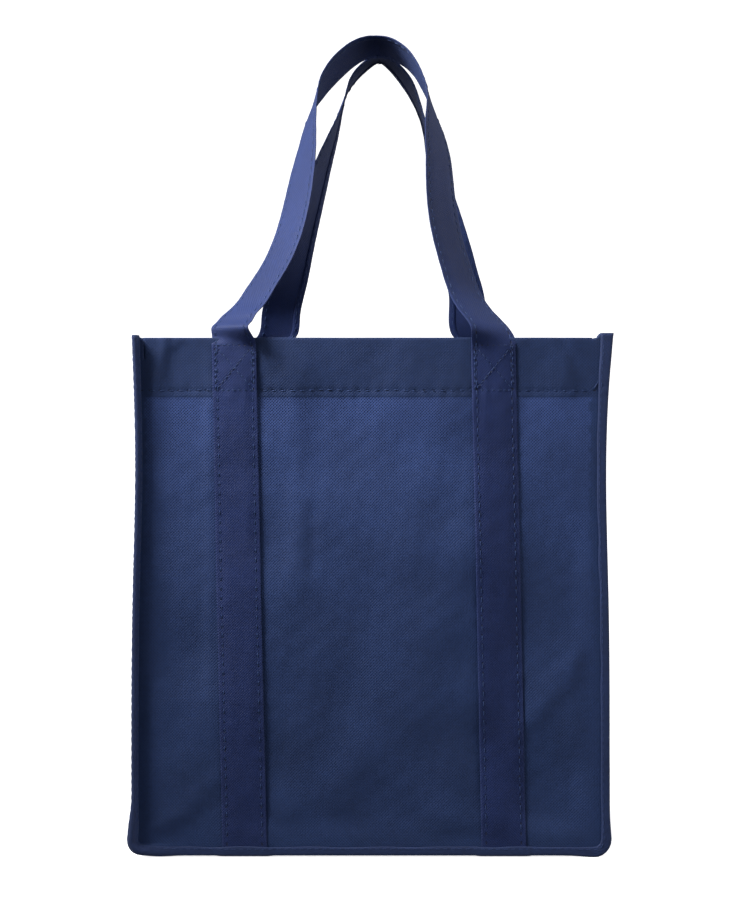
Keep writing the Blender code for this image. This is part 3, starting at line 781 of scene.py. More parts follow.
def panel_patches(rear):
    """The field with its relief, the seam ribbon round it, and the hem turned in at the top."""
    stations = seam_stations()
    heights = RIM - side_steps()[:, None]
    shares = 2.0 * base_steps()[None, :] / BASE_LENGTH - 1.0
    x = shares * (seam_half_width(heights) - CORNER_RADIUS)
    y = -HALF_DEPTH - LAYER - relief(x, heights, rear)
    field = np.stack(np.broadcast_arrays(x, y, heights), axis=-1)
    doubled = hem_cover(heights)
    # wear and painted highlight along the rim fold, where it catches the light
    rim_wear_and_highlight = RIM_WEAR_AND_HIGHLIGHT * smooth((heights - RIM + PALE_RIM_RUN) / PALE_RIM_RUN)
    # painted glow: 1 on single cloth just below the hem, fading towards the base, 0 where doubled
    painted_glow = (1.0 - doubled) * np.exp(-np.maximum(HEM_EDGE - heights, 0.0) / GLOW_RUN)
    patches = [patch(field, x, heights, doubled, rim_wear_and_highlight, painted_glow)]

    seam = column(seam_frame(stations))
    angle = flange_angle(stations)[:, None]
    start, bend, beyond = allowance_runs(angle)
    runs = np.concatenate([
        -CORNER_RADIUS - start, (-CORNER_RADIUS - bend) / 2, bend * np.linspace(-1.0, 1.0, 5), beyond,
    ], axis=1)
    spread = np.interp(np.arange(10), [0, 4, 6, 9], [0.0, 0.5, 1.0, 1.0])
    outward, forward = turn(runs, LAYER + twist_ease(stations)[:, None] * spread, angle)
    ribbon = at_seam(seam, outward, forward, angle)
    u, v = seam["x"] + seam["out_x"] * runs, seam["z"] + seam["out_z"] * runs
    patches.append(patch(ribbon, u, v, 1.0 * (seam["z"] > HEM_EDGE)))

    inward, upward = (values[:, None] for values in hem_profile())
    rim_x = shares * (seam_half_width(RIM) - CORNER_RADIUS)
    level = RIM + np.minimum(upward, 0.0)
    hem_y = -HALF_DEPTH - LAYER + inward - relief(rim_x, level, rear)
    hem = np.stack(np.broadcast_arrays(rim_x, hem_y, RIM + upward), axis=-1)
    passed = FOLD_RADIUS * math.pi / 2 + RIM - upward
    # the hem's fold at the rim: wear and painted highlight
    patches.append(patch(hem, rim_x, passed, 1.0, RIM_WEAR_AND_HIGHLIGHT * smooth(1.0 + upward / PALE_RIM_RUN)))
    return patches


def hem_ticks(tree, across, along):
    """Dents of the hem's stitches, along the level line on the panel's map."""
    return needle_ticks(tree, tree.math("SUBTRACT", along, HEM_LINE), across, ROW_PITCH)


panel_cloth = cloth_finish("panel_cloth", NAVY, ticks=hem_ticks)
front_panel = sheet("front_panel_sheet", panel_patches(False), CLOTH, panel_cloth)
rear_panel = sheet("rear_panel_sheet", panel_patches(True), CLOTH, panel_cloth, rear=True)
for piece, node in ((front_panel, "front_panel"), (rear_panel, "rear_panel")):
    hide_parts(node)

# %% [markdown]
# One long strip makes the left side, the base and the right side. Its sides swell low down and are
# drawn in along a middle fold towards the rim, as on any bag that has been packed flat. The base
# drops to the floor just inside the seams and lies flat there.

# %% Gusset
ACROSS_STEP, EDGE_RUN, GUSSET_FOLD_SPREAD = 0.0034, 0.012, 0.020


def gusset_waves(s, inward):
    """Height out of the strip: slow waves, a level packing fold, and corner folds at the base."""
    total = 0.0009 * slow_waves(s, inward, 61, 0.090) + 0.00035 * slow_waves(s, inward, 62, 0.030)
    for start, way in ((0.0, 1.0), (SEAM_LENGTH, -1.0)):
        height = RIM - way * (s - start)
        near = np.minimum(inward, BAG_DEPTH - inward)
        level = tent(height - PACKING_FOLD, GUSSET_FOLD_SPREAD)
        total = total + 0.0012 * level * (np.abs(s - start) < SIDE_LENGTH)
        slanted = tent(near - 0.75 * height, 0.012) * smooth(height / 0.02)
        total = total + 0.0009 * slanted * smooth((0.11 - height) / 0.03)
        draw = uneven(s, 0.0096, 2.0, slow_waves(s, inward, 63, 0.05))
        total = total + 0.00022 * draw * np.exp(-near / 0.006)
        total = total - 0.00012 * hump(height - HEM_LINE, 0.0020)
    return total


def side_shape(seam, inward):
    """How far the strip stands outside the seam line, at a distance in from the front panel."""
    rise = smooth((np.minimum(inward, BAG_DEPTH - inward) - DROP_START) / (DROP_END - DROP_START))
    round_share = np.sin(math.pi * np.clip(inward / BAG_DEPTH, 0.0, 1.0))
    crease = 1.0 - np.sqrt((2.0 * inward / BAG_DEPTH - 1.0) ** 2 + 0.0004)
    swell = hump(seam["z"] - SIDE_BULGE_HEIGHT, SIDE_BULGE_SPREAD)
    height_share = np.clip(seam["z"] / BAG_HEIGHT, 0.0, 1.0)
    side = SIDE_BULGE * swell * round_share - SIDE_TUCK * height_share ** 2 * crease
    waves = gusset_waves(seam["s"], inward)
    side = side + waves * smooth(inward / EDGE_RUN) * smooth((BAG_DEPTH - inward) / EDGE_RUN)
    return rise * (seam["base"] * SAG + (1.0 - seam["base"]) * side)


def gusset_edge(stations, angle):
    """Allowance and turn of the strip along a seam, from its raw edge inwards, and its map."""
    turned = math.pi / 2 - angle
    start, bend, beyond = allowance_runs(turned)
    runs = np.concatenate([beyond[:, ::-1], bend * np.linspace(1.0, -1.0, 5)], axis=1)
    ease = np.interp(np.arange(8), [0, 3, 5, 7], [1.0, 1.0, 0.75, 0.5])
    forward, outward = turn(runs, LAYER + twist_ease(stations)[:, None] * ease, turned)
    return at_seam(column(seam_frame(stations)), outward, forward, angle), -runs


def gusset_patches():
    """The strip with an allowance along each long edge, and a hem at each end."""
    stations = seam_stations()
    seam = column(seam_frame(stations))
    front, front_map = gusset_edge(stations, flange_angle(stations)[:, None])
    back, back_map = gusset_edge(SEAM_LENGTH - stations, flange_angle(SEAM_LENGTH - stations)[:, None])
    middle = np.linspace(DROP_START, BAG_DEPTH - DROP_START, int(BAG_DEPTH / ACROSS_STEP))[None, :]
    body = at_seam(seam, LAYER + side_shape(seam, middle), -middle, math.pi / 2)
    strip = np.concatenate([front, body, turn_round(back)[:, ::-1]], axis=1)
    across_map = np.broadcast_to(middle, (stations.size, middle.size))
    u = np.concatenate([front_map, across_map, BAG_DEPTH - back_map[:, ::-1]], axis=1)
    patches = [patch(strip, u, np.minimum(seam["s"], SEAM_LENGTH - seam["s"]), hem_cover(seam["z"]))]
    inward, upward = hem_profile()
    for station in (0.0, SEAM_LENGTH):
        rim = column(seam_frame(np.array([station])))
        steps = -np.minimum(upward, 0.0)
        level = column(seam_frame(np.abs(station - steps)))
        level["z"], level["x"], level["out_x"] = RIM - steps[:, None], rim["x"], rim["out_x"]
        out = LAYER + side_shape(level, middle) - inward[:, None]
        x = rim["x"] + rim["out_x"] * out
        hem = np.stack(np.broadcast_arrays(x, -HALF_DEPTH + middle, RIM + upward[:, None]), axis=-1)
        patches.append(patch(hem, middle, upward[:, None], 1.0))
    return patches


def gusset_ticks(tree, across, along):
    """Dents of the hem's stitches near each end of the strip."""
    return needle_ticks(tree, tree.math("SUBTRACT", along, RIM - HEM_LINE), across, ROW_PITCH)


gusset_cloth = cloth_finish("gusset_cloth", tuple(1.15 * c for c in NAVY), ticks=gusset_ticks)
gusset = sheet("gusset_sheet", gusset_patches(), CLOTH, gusset_cloth)
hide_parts("gusset")

# %% [markdown]
# Each strap is one strip 61 mm wide, folded to 28 mm: one long edge is turned under by 5 mm and the
# other covers the back. It is sewn up the panel, leaves the rim as a handle, and comes down again.
# The profile of the fold is carried along a path. The path's handle part is a smooth curve through
# stations read from the picture, each with the turn of the strap's width at that place.

# %% Strap path
STRAP_WIDTH, STRAP_SPACING, STRAP_LEAN = 0.028, 0.1646, 0.007
FRONT_STRAP_SHIFT, REAR_STRAP_SHIFT = -0.0027, -0.0055
ROOT = BAG_HEIGHT + 0.004
HANDLE_RISE, HANDLE_LEAN, TILT_START, TILT_RUN = 0.197, 0.0885, 0.80, 0.18
FRONT_TILT, REAR_TILT, SQUARE_RUN = 0.38, 0.0, 0.060
BOX_TOP, BOX_FOOT, BOX_HALF = 0.3252, 0.2966, 0.0121
STRAP_TILT, STRAP_SINK, END_RUN, BOW_RUN = 0.0008, 0.0004, 0.016, 0.05
LEG_ROWS, LOOP_ROWS, ROOT_ROWS, ROOT_PART = 158, 236, 33, 0.06

# From the left root to the right one: share of half the spacing out from the middle, share of the
# lean backwards, share of the rise, and the turn of the width in degrees, 0 flat and 90 edge on.
FRONT_HANDLE = [
    (1.000, 0.000, -0.060, 0), (1.002, -0.005, -0.038, 5), (1.010, -0.016, -0.020, 19),
    (1.032, -0.042, 0.011, 31), (1.004, 0.012, 0.030, 33), (0.972, 0.055, 0.051, 37),
    (0.897, 0.120, 0.086, 42), (0.816, 0.190, 0.140, 45), (0.702, 0.280, 0.222, 47),
    (0.602, 0.370, 0.324, 49), (0.541, 0.450, 0.427, 51), (0.487, 0.560, 0.566, 58),
    (0.454, 0.650, 0.672, 69), (0.424, 0.710, 0.755, 80), (0.362, 0.780, 0.830, 98),
    (0.165, 0.890, 0.942, 102), (-0.100, 1.000, 1.000, 92), (-0.335, 0.900, 0.957, 92),
    (-0.464, 0.800, 0.875, 88), (-0.526, 0.760, 0.807, 91), (-0.562, 0.710, 0.743, 106),
    (-0.582, 0.650, 0.672, 119), (-0.601, 0.595, 0.601, 125), (-0.608, 0.530, 0.531, 129),
    (-0.624, 0.450, 0.427, 133), (-0.662, 0.370, 0.324, 135), (-0.725, 0.285, 0.222, 137),
    (-0.806, 0.190, 0.120, 140), (-0.884, 0.105, 0.066, 143), (-0.950, 0.040, 0.031, 147),
    (-0.994, -0.010, -0.007, 160), (-1.003, -0.004, -0.034, 175), (-1.000, 0.000, -0.060, 180),
]
REAR_HANDLE = [
    (1.000, 0.000, -0.016, 0), (0.930, -0.005, 0.012, 5), (0.853, 0.015, 0.038, 10),
    (0.799, 0.110, 0.168, 27), (0.750, 0.200, 0.253, 33), (0.705, 0.280, 0.323, 37),
    (0.660, 0.360, 0.392, 42), (0.616, 0.420, 0.462, 49), (0.516, 0.570, 0.619, 69),
    (0.418, 0.700, 0.761, 87), (0.317, 0.800, 0.867, 82), (0.218, 0.880, 0.932, 78),
    (0.030, 1.000, 0.980, 90), (-0.164, 0.880, 0.932, 94), (-0.260, 0.800, 0.867, 86),
    (-0.321, 0.730, 0.801, 92), (-0.377, 0.670, 0.734, 101), (-0.436, 0.610, 0.667, 109),
    (-0.564, 0.450, 0.496, 122), (-0.690, 0.280, 0.323, 137), (-0.766, 0.160, 0.218, 151),
    (-0.841, 0.060, 0.111, 171), (-0.876, 0.010, 0.038, 176), (-0.940, -0.005, 0.012, 178),
    (-1.000, 0.000, -0.016, 180),
]


def unit(vectors):
    """Each vector divided by its length."""
    return vectors / np.linalg.norm(vectors, axis=-1, keepdims=True)


def curve_through(points, shares):
    """A natural cubic through rows of points, read at shares of its chord length."""
    steps = np.linalg.norm(np.diff(points[:, :3], axis=0), axis=1)
    knots = np.concatenate([[0.0], np.cumsum(steps)])
    size = len(points)
    matrix = np.zeros((size, size))
    right = np.zeros((size, points.shape[1]))
    matrix[0, 0] = matrix[-1, -1] = 1.0
    slope = np.diff(points, axis=0) / steps[:, None]
    for i in range(1, size - 1):
        matrix[i, i - 1: i + 2] = steps[i - 1], 2 * (steps[i - 1] + steps[i]), steps[i]
        right[i] = 6 * (slope[i] - slope[i - 1])
    bend = np.linalg.solve(matrix, right)
    at = shares * knots[-1]
    i = np.clip(np.searchsorted(knots, at, side="right") - 1, 0, size - 2)
    h = steps[i][:, None]
    b = ((at - knots[i]) / steps[i])[:, None]
    a = 1.0 - b
    bowed = ((a ** 3 - a) * bend[i] + (b ** 3 - b) * bend[i + 1]) * h ** 2 / 6
    return a * points[i] + b * points[i + 1] + bowed


def strap_centre(z, side, shift):
    """Where a strap's middle lies across the panel: it leans to one side on its way down."""
    return shift + side * STRAP_SPACING / 2 + STRAP_LEAN * (BAG_HEIGHT - z) / BAG_HEIGHT


def strap_path(stations, shift, tilt):
    """Centre, width direction and outward direction along leg, handle and leg, and the distance.

    The width stands square to the path, but near the roots, where the strap folds over at the
    rim, it stays level.
    """
    leg_top = ROOT + stations[0][2] * HANDLE_RISE - 0.002
    rise = np.linspace(SEAM_HEIGHT - SEAM_ALLOWANCE, leg_top, LEG_ROWS)
    flat_y = np.full(rise.size, -HALF_DEPTH - STRAP_OFFSET)
    left = np.stack([strap_centre(rise, -1, shift), flat_y, rise], axis=1)
    right = np.stack([strap_centre(rise, 1, shift), flat_y, rise], axis=1)[::-1]
    rows = np.array(stations, float)
    knots = np.stack([
        shift - rows[:, 0] * STRAP_SPACING / 2,
        -HALF_DEPTH - STRAP_OFFSET + rows[:, 1] * HANDLE_LEAN,
        ROOT + rows[:, 2] * HANDLE_RISE,
        np.radians(rows[:, 3]),
    ], axis=1)
    ends = np.linspace(0.0, ROOT_PART, ROOT_ROWS)
    shares = np.linspace(ROOT_PART, 1.0 - ROOT_PART, LOOP_ROWS)
    shares = np.concatenate([ends[:-1], shares, 1.0 - ends[-2::-1]])
    loop = curve_through(knots, shares)
    ahead = np.gradient(loop[:, :3], axis=0)
    ahead[0], ahead[-1] = (0.0, 0.0, 1.0), (0.0, 0.0, -1.0)
    ahead = unit(ahead)
    lift = tilt * smooth(((loop[:, 2] - ROOT) / HANDLE_RISE - TILT_START) / TILT_RUN)
    width = unit(np.stack([np.cos(loop[:, 3]), -np.sin(loop[:, 3]), lift], axis=1))
    square = smooth((loop[:, 2] - ROOT) / SQUARE_RUN)[:, None]
    width = unit(width - square * (width * ahead).sum(axis=1)[:, None] * ahead)
    normal = unit(np.cross(width, ahead))
    out = np.tile([0.0, -1.0, 0.0], (rise.size, 1))
    sideways = np.tile([1.0, 0.0, 0.0], (rise.size, 1))
    centre = np.concatenate([left, loop[:, :3], right])
    apart = np.linalg.norm(np.diff(centre, axis=0), axis=1)
    return {
        "centre": centre,
        "width": np.concatenate([sideways, width, -sideways]),
        "normal": np.concatenate([out, normal, out]),
        "s": np.concatenate([[0.0], np.cumsum(apart)]),
        "loop": np.concatenate([np.zeros(rise.size), np.ones(len(loop)), np.zeros(rise.size)]),
    }


def strap_points(path, across, lift, rear):
    """Points at distances across the strap and out of it.

    Where it is sewn on, the panel's relief moves them and one edge stands a little higher than the
    other. The start of the handle eases out of both.
    """
    points = (path["centre"][:, None] + across[..., None] * path["width"][:, None]
              + (lift[..., None] - STRAP_SINK) * path["normal"][:, None])
    level = np.minimum(points[..., 2], RIM)
    hold = 1.0 - smooth((points[..., 2] - RIM) / BOW_RUN)
    points[..., 1] -= relief(points[..., 0], level, rear) * hold
    height = points[..., 2]
    inner = -np.sign(path["centre"][:, 0])[:, None] * path["width"][:, :1]
    tilt = STRAP_TILT * np.maximum(0.0, across * inner / STRAP_WIDTH + 0.5)
    tilt = tilt * smooth((height - SEAM_HEIGHT - 0.004) / 0.03) * (1.0 - smooth((height - BOX_TOP) / 0.012))
    points[..., 1] -= tilt
    return points


front_path = strap_path(FRONT_HANDLE, FRONT_STRAP_SHIFT, FRONT_TILT)
rear_path = strap_path(REAR_HANDLE, REAR_STRAP_SHIFT, REAR_TILT)
print("straps", round(front_path["s"][-1], 3), "and", round(rear_path["s"][-1], 3), "m long")

# %% [markdown]
# Between its two rows of stitches a folded strap is a shallow pillow, and beyond them its folded
# edges roll down to the panel. That roll is what makes one edge catch the lamp and the other dark.

# %% Straps
STITCH_INSET, STRAP_PLY, STRAP_LIP, FACE_LIFT = 0.0029, 0.00026, 0.005, 0.0003
ROW_AT = STRAP_WIDTH / 2 - STITCH_INSET


def strap_crown(across, s):
    """Pillow of the strap: up over the margin, a dip at each row of stitches, a low crown inside."""
    out = np.abs(across)
    margin = 0.00024 * smooth((STRAP_WIDTH / 2 - out) / STITCH_INSET)
    dip = 0.00016 * hump(out - ROW_AT, 0.0011)
    inside = 0.00022 * smooth((ROW_AT - out) / 0.006)
    small = 0.00010 * uneven(s, 0.0120, 2.5, slow_waves(s, across, 71, 0.05))
    near = hump(out - ROW_AT, 0.0035)
    wave = 0.00016 * (1.0 + slow_waves(s, across, 72, 0.035)) * smooth((ROW_AT - out) / 0.006)
    return margin - dip + inside + (small + 0.0001) * near + wave


def strap_profile():
    """Across, lift and map place round the folded strip: lip, fold, front, fold and back."""
    half, ply, slim = STRAP_WIDTH / 2, FACE_LIFT, FACE_LIFT / 2
    lip_x = np.linspace(half - STRAP_LIP, half - ply, 4)
    first = np.linspace(-math.pi / 2, math.pi / 2, 7)[1:-1]
    face_x = np.linspace(half - ply, -half + slim, 25)
    second = np.linspace(math.pi / 2, 1.5 * math.pi, 7)[1:-1]
    back_x = np.linspace(-half + slim, half - 0.0010, 10)
    across = np.concatenate([
        lip_x, half - ply + ply * np.cos(first), face_x, -half + slim + slim * np.cos(second), back_x])
    lift = np.concatenate([
        np.full(lip_x.size, -ply), ply * np.sin(first), np.full(face_x.size, ply),
        slim + slim * np.sin(second), np.zeros(back_x.size)])
    passed = np.concatenate([[0.0], np.cumsum(np.hypot(np.diff(across), np.diff(lift)))])
    middle = passed[lip_x.size + first.size] + face_x[0]
    edge = hump(np.abs(across) - half, 0.0007)
    return across, lift, middle - passed, edge


def end_share(s, whole):
    """0 at both ends of the strap, where the tape presses it flat, and 1 from END_RUN on."""
    return smooth((s - SEAM_ALLOWANCE / 2) / END_RUN) * smooth((whole - SEAM_ALLOWANCE / 2 - s) / END_RUN)


def strap_patches(path, rear):
    """The folded profile carried along the strap's path, with a packing crease at its top; the crease and
    the folded edges get wear and painted highlight.
    """
    across, lift, flat, edge = strap_profile()
    s = path["s"][:, None]
    crown = strap_crown(across[None, :], s) * end_share(s, path["s"][-1])
    top = path["s"][np.argmax(path["centre"][:, 2])]
    crease = hump(s - top, 0.0011)
    lift = lift[None, :] + crown + 0.00012 * crease
    points = strap_points(path, np.broadcast_to(across, crown.shape), lift, rear)
    # folded edges and the top crease: wear and painted highlight
    return [patch(points, flat[None, :], s, 0.0, np.maximum(0.55 * edge[None, :], 0.8 * crease))]


BOX_PITCH = 0.0036


def strap_ticks(tree, across, along):
    """Dents of the rows, of the box and of its cross.

    Both ends and both edges are read as one by taking distances without their sign.
    """
    beside = tree.math("ABSOLUTE", across)
    rows = needle_ticks(tree, tree.math("SUBTRACT", beside, ROW_AT), along, ROW_PITCH)
    whole = float(front_path["s"][-1])
    from_top = tree.math("ABSOLUTE", tree.math("SUBTRACT", along, whole / 2))
    from_end = tree.math("SUBTRACT", whole / 2, from_top)
    tall = (BOX_TOP - BOX_FOOT) / 2
    middle = (BOX_TOP + BOX_FOOT) / 2 - (SEAM_HEIGHT - SEAM_ALLOWANCE)
    above = tree.math("ABSOLUTE", tree.math("SUBTRACT", from_end, middle))
    within = tree.math("MULTIPLY", tree.math("LESS_THAN", beside, BOX_HALF + 0.0006),
                       tree.math("LESS_THAN", above, tall + 0.0006))
    sides = needle_ticks(tree, tree.math("SUBTRACT", beside, BOX_HALF), from_end, BOX_PITCH)
    ends = needle_ticks(tree, tree.math("SUBTRACT", above, tall), across, BOX_PITCH)
    slope = math.hypot(tall, BOX_HALF)
    off_cross = tree.math("SUBTRACT", tree.math("MULTIPLY", beside, tall / slope),
                          tree.math("MULTIPLY", above, BOX_HALF / slope))
    cross = needle_ticks(tree, off_cross, above, BOX_PITCH * tall / slope)
    box = tree.math("MAXIMUM", tree.math("MAXIMUM", sides, ends), cross)
    return tree.math("MAXIMUM", rows, tree.math("MULTIPLY", box, within))


strap_cloth = cloth_finish("strap_cloth", (0.0080, 0.0172, 0.0730), pitch=0.00120, roughness=0.62,
                           shine=0.19, ticks=strap_ticks)
front_strap = sheet("front_strap_strip", strap_patches(front_path, False), STRAP_PLY, strap_cloth)
rear_strap = sheet("rear_strap_strip", strap_patches(rear_path, True), STRAP_PLY, strap_cloth, rear=True)
for piece, node in ((front_strap, "front_strap"), (rear_strap, "rear_strap")):
    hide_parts(node)

# %% [markdown]
# The tape hides the raw edges. It is a narrow strip folded over the allowance: up one face, half
# round the edge and down the other. It bunches a little under its stitches and climbs over the
# ends of the straps, which are caught in the base seam.

# %% Bindings
TAPE_RAMP, TAPE_CLIMB, TAPE_ROWS = 0.004, 0.6, 4


def strap_cover(x, shift):
    """1 where a strap end lies in the base seam, easing to 0 over the tape's ramp."""
    cover = np.zeros_like(x)
    for side in (-1, 1):
        beyond = np.abs(x - strap_centre(SEAM_HEIGHT, side, shift)) - STRAP_WIDTH / 2 - 2 * GAP
        cover = np.maximum(cover, 1.0 - smooth(beyond / TAPE_RAMP))
    return cover


def tape_faces(seam, shift):
    """How far each face of the tape stands from the seam's middle plane, at the front and rear."""
    rear = TAPE_OFFSET + 2 * twist_ease(seam["s"])
    cover = strap_cover(seam["x"], shift) * (seam["base"] > 0.999)
    front = rear + TAPE_CLIMB * TAPE_OVER_STRAP * cover
    return front, rear


def tape_points(seam, reach, across):
    """Points of the allowance from the distance past the seam and the distance across it."""
    angle = flange_angle(seam["s"])
    outward = reach * np.cos(angle) - across * np.sin(angle)
    forward = reach * np.sin(angle) + across * np.cos(angle)
    return at_seam(seam, outward, forward, angle)


def tape_patches(shift, seed):
    """Up one face, half round the edge and down the other, with a small seeded ripple."""
    stations = seam_stations()
    seam = column(seam_frame(stations))
    front, rear = tape_faces(seam, shift)
    round_angle = np.linspace(-math.pi / 2, math.pi / 2, 9)[None, :]
    middle, radius = (front - rear) / 2, (front + rear) / 2
    flat_share = np.linspace(0.0, 1.0, TAPE_ROWS + 1)[None, :-1]
    flat_reach = TAPE_START + flat_share * (SEAM_ALLOWANCE - TAPE_START)
    reach = np.concatenate([
        np.broadcast_to(flat_reach, (stations.size, TAPE_ROWS)),
        SEAM_ALLOWANCE + radius * np.cos(round_angle),
        np.broadcast_to(flat_reach[:, ::-1], (stations.size, TAPE_ROWS))], axis=1)
    row = np.ones((1, TAPE_ROWS))
    across = np.concatenate([-rear * row, middle + radius * np.sin(round_angle), front * row], axis=1)
    along = stations[:, None]
    edge_wave = slow_waves(along, 0.0 * reach, seed, 0.030)
    reach = reach + 0.00022 * edge_wave * (reach < SEAM_ALLOWANCE / 2)
    bunch = uneven(along, 0.0052, 2.0, slow_waves(along, 0.0 * reach, seed + 1, 0.04))
    swell = 0.00016 * (1.0 + bunch) * smooth((reach - TAPE_START) / 0.002)
    across = across + np.sign(across) * swell * (1.0 - seam["base"] * (across < 0.0))
    points = tape_points(seam, reach, across)
    steps = np.hypot(np.diff(reach, axis=1), np.diff(across, axis=1))
    passed = np.concatenate([np.zeros((stations.size, 1)), np.cumsum(steps, axis=1)], axis=1)
    # the tape's inner edge and its fold round the allowance: wear and painted highlight
    wear_and_highlight = 0.14 * hump(reach - TAPE_START, 0.0007) + 0.12 * (reach > SEAM_ALLOWANCE)
    return [patch(points, passed, along, 0.0, wear_and_highlight)]


binding_tape = cloth_finish("binding_tape", (0.0120, 0.0225, 0.0720), pitch=0.00100, roughness=0.62)
front_binding = sheet("front_binding_tape", tape_patches(FRONT_STRAP_SHIFT, 81), TAPE, binding_tape)
rear_binding = sheet("rear_binding_tape", tape_patches(REAR_STRAP_SHIFT, 91), TAPE, binding_tape, rear=True)
for piece, node in ((front_binding, "front_binding"), (rear_binding, "rear_binding")):
    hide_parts(node)

# %% [markdown]
# A stitch is a short arch of thread that dips into the cloth at both ends. One small template, a
# tube of six sides, is copied to every place on a seam line with the line's direction and the
# cloth's outward direction, and the copies of a seam group form one piece.

# %% Stitches
RINGS, SIDES, LOOK, SHAKE = 7, 6, 0.0008, 0.00012
THREAD_THICKNESS, TAPE_THREAD = 0.00055, 0.00040


def stitch_shape(length, thickness):
    """An arched tube that closes at both ends, in (along, beside, out), with its faces and map."""
    share = np.linspace(-1.0, 1.0, RINGS)
    turn_angle = np.linspace(0.0, 2.0 * math.pi, SIDES + 1)[:-1]
    thick = thickness / 2 * np.sqrt(np.clip(1.0 - share ** 4, 0.02, 1.0))
    arch = 0.75 * thickness * (1.0 - share ** 2) - 0.45 * thickness
    along = np.broadcast_to(share[:, None] * length / 2, (RINGS, SIDES))
    beside = thick[:, None] * np.cos(turn_angle)
    out = arch[:, None] + thick[:, None] * np.sin(turn_angle)
    rings = np.stack([along, beside, out], axis=-1).reshape(-1, 3)
    points = np.concatenate([rings, [[-length / 2, 0.0, arch[0]], [length / 2, 0.0, arch[-1]]]])
    count = RINGS * SIDES
    index = np.arange(count).reshape(RINGS, SIDES)
    after = np.roll(index, -1, axis=1)
    quads = np.stack([index[:-1], index[1:], after[1:], after[:-1]], axis=-1).reshape(-1, 4)
    first = np.stack([np.full(SIDES, count), index[0], after[0]], axis=-1)
    last = np.stack([np.full(SIDES, count + 1), after[-1], index[-1]], axis=-1)
    round_it = 0.6 * thickness * np.arctan2(points[:, 1], points[:, 2] + 1e-9)
    return points, quads, np.concatenate([first, last]), np.stack([points[:, 0], round_it], axis=-1)


def read_line(at, s, rows):
    """Rows of three numbers known at the distances s, read at other distances."""
    return np.stack([np.interp(at, s, rows[:, k]) for k in range(3)], axis=1)


def along_line(points, normals, pitch, draw):
    """Places, directions and outward directions at an even pitch along a line, slightly uneven."""
    s = np.concatenate([[0.0], np.cumsum(np.linalg.norm(np.diff(points, axis=0), axis=1))])
    count = max(int(s[-1] / pitch), 1)
    at = (np.arange(count) + 0.5) * pitch + draw.normal(0.0, SHAKE, count)
    at = np.clip(at, 0.0, s[-1])
    ahead = unit(read_line(at + LOOK, s, points) - read_line(at - LOOK, s, points))
    out = unit(read_line(at, s, normals))
    out = unit(out - (out * ahead).sum(axis=1)[:, None] * ahead)
    return read_line(at, s, points), ahead, out


def stitching(name, lines, material, seed, thickness=THREAD_THICKNESS):
    """Copies of the template along every line: each line is points, normals, pitch and length."""
    draw = np.random.default_rng(seed)
    all_points, all_quads, all_ends, all_map, start = [], [], [], [], 0
    for points, normals, pitch, length in lines:
        shape, quads, ends, place = stitch_shape(length, thickness)
        middle, ahead, out = along_line(points, normals, pitch, draw)
        slant = draw.normal(0.0, 0.05, len(middle))[:, None]
        beside = np.cross(out, ahead)
        ahead = unit(ahead + slant * beside)
        beside = np.cross(out, ahead)
        basis = np.stack([ahead, beside, out], axis=1)
        size = draw.uniform(0.92, 1.06, len(middle))
        placed = middle[:, None] + np.einsum("kj,njc->nkc", shape, basis) * size[:, None, None]
        shift = start + len(shape) * np.arange(len(middle))[:, None, None]
        all_points.append(placed.reshape(-1, 3))
        all_quads.append((quads[None] + shift).reshape(-1, 4))
        all_ends.append((ends[None] + shift).reshape(-1, 3))
        all_map.append(np.tile(place, (len(middle), 1)))
        start += len(shape) * len(middle)
    points, flat = np.concatenate(all_points), np.concatenate(all_map)
    quads, ends = np.concatenate(all_quads), np.concatenate(all_ends)
    mesh = bpy.data.meshes.new(name)
    mesh.from_pydata(points, [], quads.tolist() + ends.tolist())
    write_map(mesh, flat[np.concatenate([quads.ravel(), ends.ravel()])])
    mesh.shade_smooth()
    mesh.materials.append(material)
    piece = link(name, mesh)
    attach(piece, "root")
    print(name, len(quads) // ((RINGS - 1) * SIDES), "stitches")
    return piece


# %% [markdown]
# The stitches follow the real sewing order. Each strap has two rows all the way along it. At the
# rim it is fastened with a box of stitches and a cross inside it. A level row holds the hems, and
# one row runs along each face of the tape.

# %% Stitch lines
ROW_STITCH, BOX_STITCH, TAPE_STITCH, TAPE_PITCH, TAPE_INSET = 0.0040, 0.0029, 0.0034, 0.0048, 0.0014
HEM_LEFT, HEM_RIGHT, LOOSE_PITCH, LOOSE_LENGTH = -0.1395, 0.1425, 0.0070, 0.0062


def facing(x, y, z, way=-1.0):
    """A line of points, with normals that all look along y."""
    return np.stack([x, y, z], axis=1), np.tile([0.0, way, 0.0], (x.size, 1))


def strap_row(path, across, face, rear, keep=None):
    """A line on a strap: face 1 is its outer side, -1 its inner side."""
    s = path["s"]
    kept = slice(5, -5) if keep is None else np.flatnonzero(keep)
    part = {name: values[kept] for name, values in path.items()}
    crown = strap_crown(np.full((part["s"].size, 1), across), part["s"][:, None])
    crown = crown * end_share(part["s"], s[-1])[:, None]
    if face > 0:
        lift = FACE_LIFT + STRAP_PLY / 2 + crown
    else:
        lift = -STRAP_PLY / 2 + crown - (FACE_LIFT if across > STRAP_WIDTH / 2 - STRAP_LIP else 0.0)
    points = strap_points(part, np.full(crown.shape, across), lift, rear)[:, 0]
    return points, face * part["normal"]


